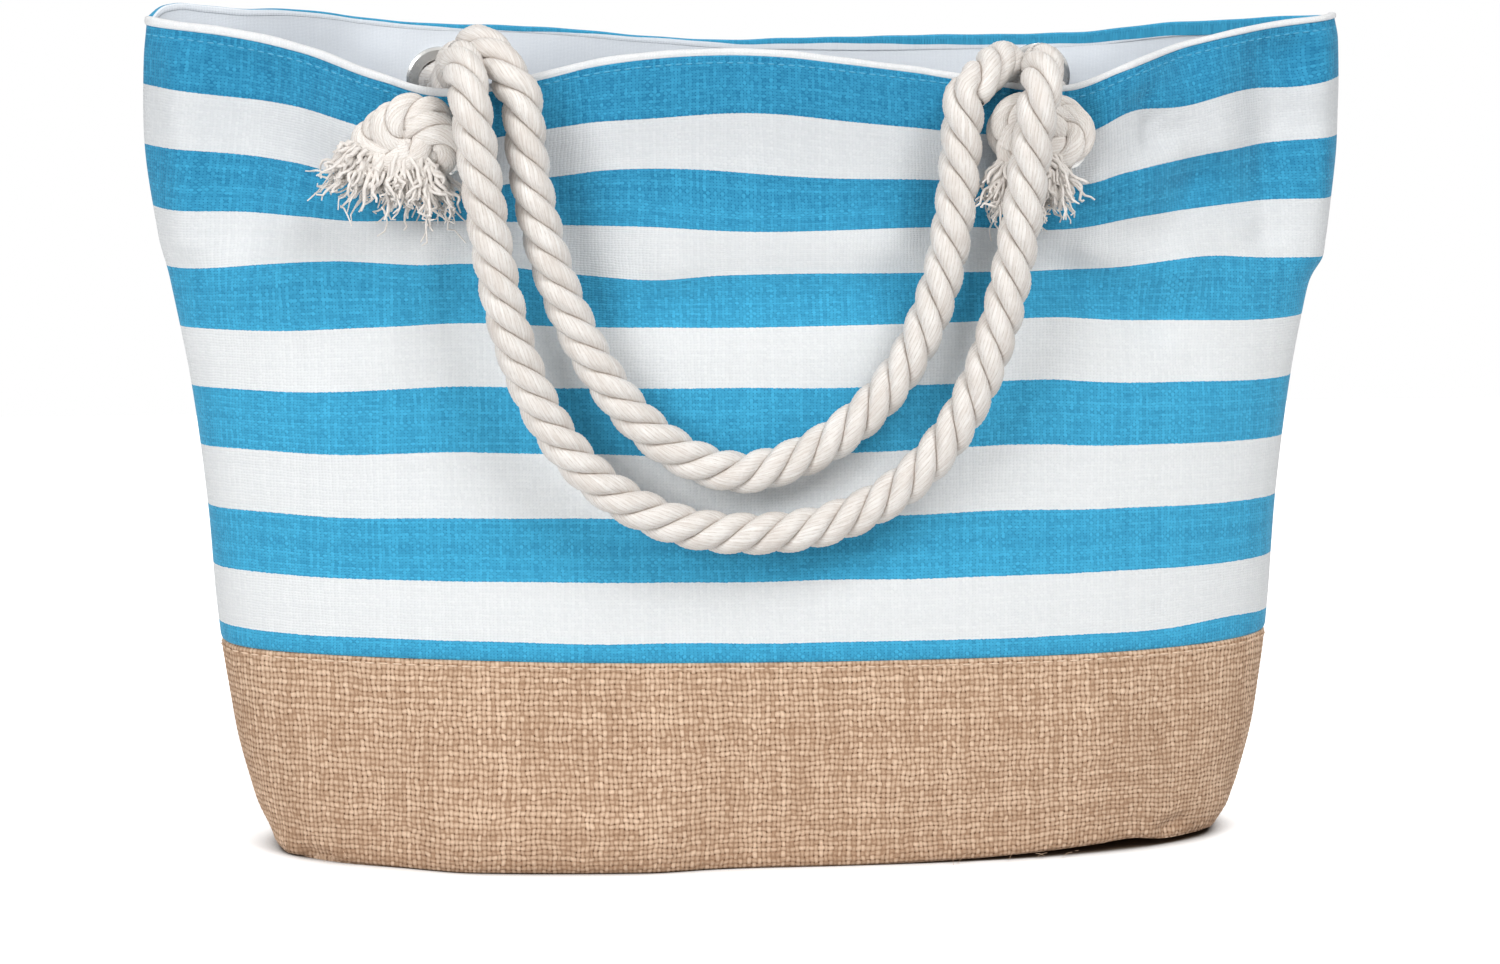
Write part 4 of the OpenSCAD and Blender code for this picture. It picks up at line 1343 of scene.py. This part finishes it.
class TOTE_OT_canvas(bpy.types.Operator):
    """Hang the two striped canvas panels"""

    bl_idname = "tote.canvas"
    bl_label = "Striped canvas"

    # Rows of points close above the seam in millimetres, then even rows up to the rim
    SEAM_ROWS, FIRST_EVEN_ROW, EVEN_ROWS, COLUMNS = (0, 0.5, 1, 1.6, 2.4), 3.6, 128, 256
    # Reach and depth of the roll along the seams
    SEAM_ROLL = 2.6 * MM, 1.1 * MM

    def execute(self, context):
        tote = Tote(context.scene)
        bag = tote.bag
        material = shared(bpy.data.materials, "canvas_stripes", canvas_material, tote)
        even = np.linspace(bag.jute_height + self.FIRST_EVEN_ROW * MM, tote.cloth_top + UNDER_EDGE, self.EVEN_ROWS)
        levels = np.concatenate([bag.jute_height + np.array(self.SEAM_ROWS) * MM, even])
        for side in SIDES:
            points, normals, u, v = tote.panel(side, levels, self.COLUMNS)
            points = tote.folded(side, points, normals, v, CANVAS_FOLDS)
            seam = np.minimum(v - bag.jute_height, np.abs(np.abs(u) - u[:, :1]))
            points = points - normals * edge_roll(seam, *self.SEAM_ROLL)[..., None]
            shown = drawn_level(side, points[..., 0], v)
            uv = np.stack([u + 0.8 * MM * wander(u, v, waves=6, seed=3),
                           shown + 0.5 * MM * wander(u, v, waves=6, seed=4)], -1)
            name = f"{SIDE_NAMES[side]}_canvas"
            piece = panel_piece(tote, name + "_panel", side, points, bag.canvas_thickness, uv, material)
            fit(piece, "striped_canvas", name)
            float(u[-1, 0] - u[-1, -1])
        return {"FINISHED"}


class TOTE_OT_jute(bpy.types.Operator):
    """Weave the jute foot: two walls and the base"""

    bl_idname = "tote.jute"
    bl_label = "Jute foot"

    ROWS, COLUMNS, INNER_ROWS = 112, 648, 8
    # Level of the lowest row, and the least height of any point above the floor
    LOWEST, ABOVE_FLOOR = 0.2 * MM, 0.1 * MM
    # Reach and depth of the roll along the seams and along the bottom edge
    SEAM_ROLL, FOOT_ROLL = (2.6 * MM, 1.2 * MM), (3.2 * MM, 1.6 * MM)
    THREAD_RELIEF = 0.55 * MM
    BASE_INSET = 1.6 * MM

    def wall(self, tote, side, material):
        """One wall of the foot, with its threads on the outside."""
        bag = tote.bag
        levels = np.linspace(self.LOWEST, bag.jute_height, self.ROWS + 1)
        points, normals, u, v = tote.panel(side, levels, self.COLUMNS)
        points[..., 2] = np.maximum(points[..., 2], self.LOWEST)
        points = tote.folded(side, points, normals, v, JUTE_FOLDS)
        lift_foot(points, v)
        normals = grid_normals(points, side)
        seam = np.minimum(bag.jute_height - v, np.abs(np.abs(u) - u[:, :1]))
        inward = edge_roll(seam, *self.SEAM_ROLL) + edge_roll(v, *self.FOOT_ROLL)
        uv = np.stack([u + 1.1 * MM * wander(u, v, waves=7, seed=8),
                       v + 0.8 * MM * wander(u, v, waves=7, seed=9)], -1)
        threads = weave_height(uv[..., 0] / bag.jute_pitch, uv[..., 1] / bag.jute_row)
        outer = points + normals * (self.THREAD_RELIEF * (threads - 0.75) - inward)[..., None]
        coarse = np.arange(0, self.ROWS + 1, self.ROWS // self.INNER_ROWS)
        inner = (points - normals * bag.jute_thickness)[coarse]
        for layer in (outer, inner):
            layer[..., 2] = np.maximum(layer[..., 2], self.ABOVE_FLOOR)
        return coarse_backed(f"{SIDE_NAMES[side]}_jute_foot", side, outer, inner, coarse, uv, material)

    def execute(self, context):
        tote = Tote(context.scene)
        bag = tote.bag
        material = shared(bpy.data.materials, "jute_weave", jute_material, tote)
        for side in SIDES:
            piece = self.wall(tote, side, material)
            fit(piece, "jute", f"{SIDE_NAMES[side]}_jute")
        thick = bag.jute_thickness
        base = floor_disc(tote, "jute_base_disc", thick, self.BASE_INSET, 0.0, thick, material)
        fit(base, "jute", "jute_base")
        return {"FINISHED"}


class TOTE_OT_lining(bpy.types.Operator):
    """Hang the lining inside the bag and lay it over the base"""

    bl_idname = "tote.lining"
    bl_label = "Lining"

    ROWS, COLUMNS = 110, 180
    # Extra room inside the foot, the level up to which it is full, and the height over which it runs out
    FOOT_ROOM, ROOM_FULL, ROOM_EASE = 3 * MM, 8 * MM, 26 * MM
    # Height above the seam over which the lining comes to follow the canvas's folds, and how closely
    FOLD_EASE, FOLD_MARGIN, FOLD_SHARE = 20 * MM, 0.2 * MM, 0.8
    BASE_INSET = 5 * MM

    def execute(self, context):
        tote = Tote(context.scene)
        bag, tints = tote.bag, tote.tints
        material = shared(bpy.data.materials, "lining_cloth", plain_cloth_material, bag.lining_pitch,
                          tints.lining, tints.lining_dark, 0.12 * MM)
        inset = bag.canvas_thickness + bag.layer_gap
        under = bag.jute_thickness + bag.layer_gap
        low = under + bag.lining_thickness
        levels = np.linspace(low, tote.cloth_top + UNDER_EDGE, self.ROWS)
        clear = inset + self.FOOT_ROOM * (1 - ease((levels - self.ROOM_FULL) / self.ROOM_EASE))[:, None]
        for side in SIDES:
            points, normals, u, v = tote.panel(side, levels, self.COLUMNS, clear)
            upper = ease((v - bag.jute_height) / self.FOLD_EASE)
            heights = fold_height(CANVAS_FOLDS[side], points[..., 0], v) * upper
            heights = np.minimum(heights, self.FOLD_MARGIN + self.FOLD_SHARE * heights)
            points = points + normals * heights[..., None]
            lift_foot(points, v)
            name = f"{SIDE_NAMES[side]}_lining"
            piece = panel_piece(tote, name + "_panel", side, points, bag.lining_thickness,
                                np.stack([u, v], -1), material)
            fit(piece, "lining", name)
            float(u[-1, 0] - u[-1, -1])
        base = floor_disc(tote, "base_lining_disc", low, self.BASE_INSET, under, low, material)
        fit(base, "lining", "base_lining")
        return {"FINISHED"}


class TOTE_OT_rim(bpy.types.Operator):
    """Turn the edges over the front and back rims"""

    bl_idname = "tote.rim"
    bl_label = "Rim edges"

    COLUMNS, AROUND = 300, 40
    # Powers that round the roll's section across and up
    ROUND_ACROSS, ROUND_UP = {FRONT: 0.7, BACK: 0.35}, 0.7
    WAVE = 0.18 * MM
    # Height of the front edge in the middle as a share, and what it loses towards the right
    FRONT_HEIGHT, FRONT_FALL = 1.05, 0.22
    # How far the back edge's inside hangs lower at the right, where that starts, and the width over which it grows
    HEM, HEM_START, HEM_WIDTH = 3.4 * MM, -40 * MM, 110 * MM
    SLOTS = {FRONT: "white_edge", BACK: "blue_edge"}

    def cloths(self, tote):
        """The white cloth of the front edge, and the blue one of the back edge with the lining inside."""
        bag, tints = tote.bag, tote.tints
        return {
            FRONT: shared(bpy.data.materials, "white_edge_cloth", plain_cloth_material, bag.lining_pitch,
                          tints.edge, tints.white_dark, 0.15 * MM),
            BACK: shared(bpy.data.materials, "blue_edge_cloth", plain_cloth_material, bag.canvas_row,
                         tints.blue, tints.blue_dark, 0.2 * MM, (tints.lining, tints.lining_dark)),
        }

    def middle_line(self, tote, side):
        """Line along the middle of the cloth's top, and its outward directions."""
        angles = tote.even_angles(side, self.COLUMNS, tote.cloth_top)
        middle = tote.cloth(side, angles, np.full(self.COLUMNS + 1, tote.cloth_top), tote.stack / 2)
        outward = np.cross((0, 0, 1), np.gradient(middle, axis=0)) * -side
        outward /= np.linalg.norm(outward, axis=1, keepdims=True)
        heights = fold_height(CANVAS_FOLDS[side], middle[:, 0], tote.cloth_top)
        return middle + outward * heights[:, None], outward

    def roll(self, tote, side, material):
        """The turned edge of one side, with the depth of its lined inside below the band that shows."""
        bag, columns, around = tote.bag, self.COLUMNS, self.AROUND
        middle, outward = self.middle_line(tote, side)
        turns = np.linspace(0, math.tau, around, endpoint=False)
        cosines, sines = np.cos(turns), np.sin(turns)
        half = tote.stack / 2 + bag.edge_proud
        across = half * signed_power(cosines, self.ROUND_ACROSS[side])
        rise = bag.edge_height / 2 * (1 + signed_power(sines, self.ROUND_UP))
        wave = self.WAVE * np.sin(np.linspace(0, 90, columns + 1)) * np.sin(np.linspace(3, 47, columns + 1))
        lift = rise[None] * (1 + wave[:, None] / bag.edge_height)
        if side == FRONT:
            lift = lift * (self.FRONT_HEIGHT - self.FRONT_FALL * middle[:, :1] / (bag.mouth_width / 2))
        else:
            hem = self.HEM * ease((middle[:, 0] - self.HEM_START) / self.HEM_WIDTH)
            lift = lift - hem[:, None] * ((cosines < -0.3) & (sines < -0.2))[None]
        below = lift.max(axis=1, keepdims=True) - lift - smooth_lookup(middle[:, :1] / MM, BLUE_BAND) * MM
        lined = np.where(cosines[None] < -0.05, below / MM, -1)
        points = middle[:, None] + outward[:, None] * across[None, :, None] + np.array([0, 0, 1]) * lift[..., None]
        index = np.arange((columns + 1) * around).reshape(columns + 1, around)
        nxt = np.roll(index, -1, axis=1)
        quads = np.stack([index[:-1], index[1:], nxt[1:], nxt[:-1]], -1).reshape(-1, 4)
        faces = quads.tolist() + [index[0].tolist(), index[-1, ::-1].tolist()]
        if side == BACK:
            faces = [face[::-1] for face in faces]
        uv = np.stack(np.broadcast_arrays(lengths_along(middle)[:, None], turns[None] * half), -1)
        piece = new_piece(f"{SIDE_NAMES[side]}_rim_edge_roll", points, faces, uv, material)
        set_field(piece.data, "lined", lined.ravel())
        return piece

    def execute(self, context):
        tote = Tote(context.scene)
        cloths = self.cloths(tote)
        for side in SIDES:
            fit(self.roll(tote, side, cloths[side]), self.SLOTS[side], f"{SIDE_NAMES[side]}_rim_edge")
        return {"FINISHED"}


class TOTE_OT_stitches(bpy.types.Operator):
    """Sew the rows of stitches along the rims and the top of the jute"""

    bl_idname = "tote.stitches"
    bl_label = "Stitches"

    # Steps along a row, and those left out at the corners
    STEPS, CORNER_STEPS = 240, 2
    # Half height of the strip that shows which way the cloth faces, and the stitches' height on it
    STRIP, PROUD = 0.4 * MM, 0.05 * MM

    def execute(self, context):
        tote = Tote(context.scene)
        tints = tote.tints
        thread, twine = [
            shared(bpy.data.materials, name, grained_material, tint, darker(tint, 0.8), 0.7, 700.0)
            for name, tint in (("sewing_thread", tints.thread), ("seam_twine", tints.jute))]
        # Place, level, folds of the cloth, thread, slot, then pitch, length and thickness in millimetres
        rows = [("rim", tote.cloth_top - 3.4 * MM, CANVAS_FOLDS, thread, "striped_canvas", 4.2, 3.1, 0.75),
                ("seam", tote.bag.jute_height - 2.4 * MM, JUTE_FOLDS, twine, "jute", 5.8, 4.6, 0.8)]
        tree = shared(bpy.data.node_groups, "Stitches", stitch_tree)
        for side in SIDES:
            for place, level, folds, material, slot, pitch, long, thick in rows:
                angles = tote.even_angles(side, self.STEPS, level)[self.CORNER_STEPS:-self.CORNER_STEPS]
                levels = np.array([level - self.STRIP, level, level + self.STRIP])
                points = tote.cloth(side, angles[None, :], levels[:, None])
                normals = grid_normals(points, side)[1]
                height = fold_height(folds[side], points[1, :, 0], level) + self.PROUD
                line = points[1] + normals * height[:, None]
                edges = [(i, i + 1) for i in range(len(line) - 1)]
                values = {"Pitch": pitch * MM, "Stitch length": long * MM, "Thread": thick * MM,
                          "Material": material}
                name = f"{SIDE_NAMES[side]}_{place}_stitches"
                fit(grown(name, line, edges, {"outward": normals}, tree, values), slot)
        return {"FINISHED"}


class TOTE_OT_fibres(bpy.types.Operator):
    """Let a few loose jute fibres stand out along the bottom edge"""

    bl_idname = "tote.fibres"
    bl_label = "Loose jute fibres"

    COUNT, SEED = 34, 71
    # Angles round the front between which the fibres stand: half of them close together, half anywhere
    CLOSE, ANYWHERE = (0.9, 1.5), (0.5, 2.7)
    # Levels of the roots, lengths and radius, in millimetres
    LEVELS, LENGTHS, RADIUS = (1.5, 6), (3, 8), 0.09
    ABOVE_FLOOR = 0.1 * MM

    def execute(self, context):
        tote = Tote(context.scene)
        tints, count = tote.tints, self.COUNT
        hair = shared(bpy.data.materials, "jute_fibre", grained_material, tints.jute, tints.jute_dark, 0.8, 500.0)
        draw = np.random.default_rng(self.SEED)
        angles = np.concatenate([draw.uniform(*self.CLOSE, count // 2),
                                 draw.uniform(*self.ANYWHERE, count - count // 2)])
        roots = tote.cloth(FRONT, angles, draw.uniform(*self.LEVELS, count) * MM)
        heading = np.stack([draw.uniform(-1, 1, count), -draw.uniform(0.3, 1, count),
                            draw.uniform(-0.4, 0.5, count)], -1)
        heading *= (draw.uniform(*self.LENGTHS, count) * MM / np.linalg.norm(heading, axis=1))[:, None]
        piece = loose_yarns("jute_loose_fibres", roots, heading, np.full(count, self.RADIUS * MM), hair, seed=9,
                            curl=4, curl_size=6, droop=0.5)
        points = mesh_points(piece)
        points[:, 2] = np.maximum(points[:, 2], self.ABOVE_FLOOR)
        set_mesh_points(piece, points)
        fit(piece, "jute")
        return {"FINISHED"}


class TOTE_OT_eyelets(bpy.types.Operator):
    """Plate the eyelets and washers of the CAD frame with brushed nickel"""

    bl_idname = "tote.eyelets"
    bl_label = "Eyelets"

    def execute(self, context):
        nickel = context.scene.tote_colours.nickel
        plate = shared(bpy.data.materials, "nickel_plate", grained_material, nickel, darker(nickel, 0.8),
                       0.22, 260.0, 1.0)
        for side, end in CORNERS:
            for part in ("eyelet", "washer"):
                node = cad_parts[corner_name(side, end, part)]
                node.data.materials.clear()
                node.data.materials.append(plate)
        return {"FINISHED"}


OPERATORS = (
    TOTE_OT_stage, TOTE_OT_knots, TOTE_OT_frays, TOTE_OT_handles, TOTE_OT_canvas, TOTE_OT_jute,
    TOTE_OT_lining, TOTE_OT_rim, TOTE_OT_stitches, TOTE_OT_fibres, TOTE_OT_eyelets,
)
SETTINGS = {
    "tote_bag": ToteBagSizes, "tote_rope": ToteRopeSizes, "tote_colours": ToteColours, "tote_stage": ToteStage,
}


class TOTE_PT_sidebar(bpy.types.Panel):
    """Lists the steps that build the tote"""

    bl_idname = "TOTE_PT_sidebar"
    bl_label = "Striped Beach Tote"
    bl_space_type = "VIEW_3D"
    bl_region_type = "UI"
    bl_category = "Tote"

    def draw(self, context):
        for operator in OPERATORS:
            self.layout.operator(operator.bl_idname)
        for name in SETTINGS:
            settings = getattr(context.scene, name)
            box = self.layout.box()
            for prop in settings.__annotations__:
                box.prop(settings, prop)


CLASSES = (*SETTINGS.values(), *OPERATORS, TOTE_PT_sidebar)


def register():
    for cls in CLASSES:
        bpy.utils.register_class(cls)
    for name, cls in SETTINGS.items():
        setattr(bpy.types.Scene, name, bpy.props.PointerProperty(type=cls))


def unregister():
    for name in SETTINGS:
        delattr(bpy.types.Scene, name)
    for cls in reversed(CLASSES):
        bpy.utils.unregister_class(cls)


def main():
    register()
    for operator in OPERATORS:
        group, name = operator.bl_idname.split(".")
        getattr(getattr(bpy.ops, group), name)()


if __name__ == "__main__":
    main()
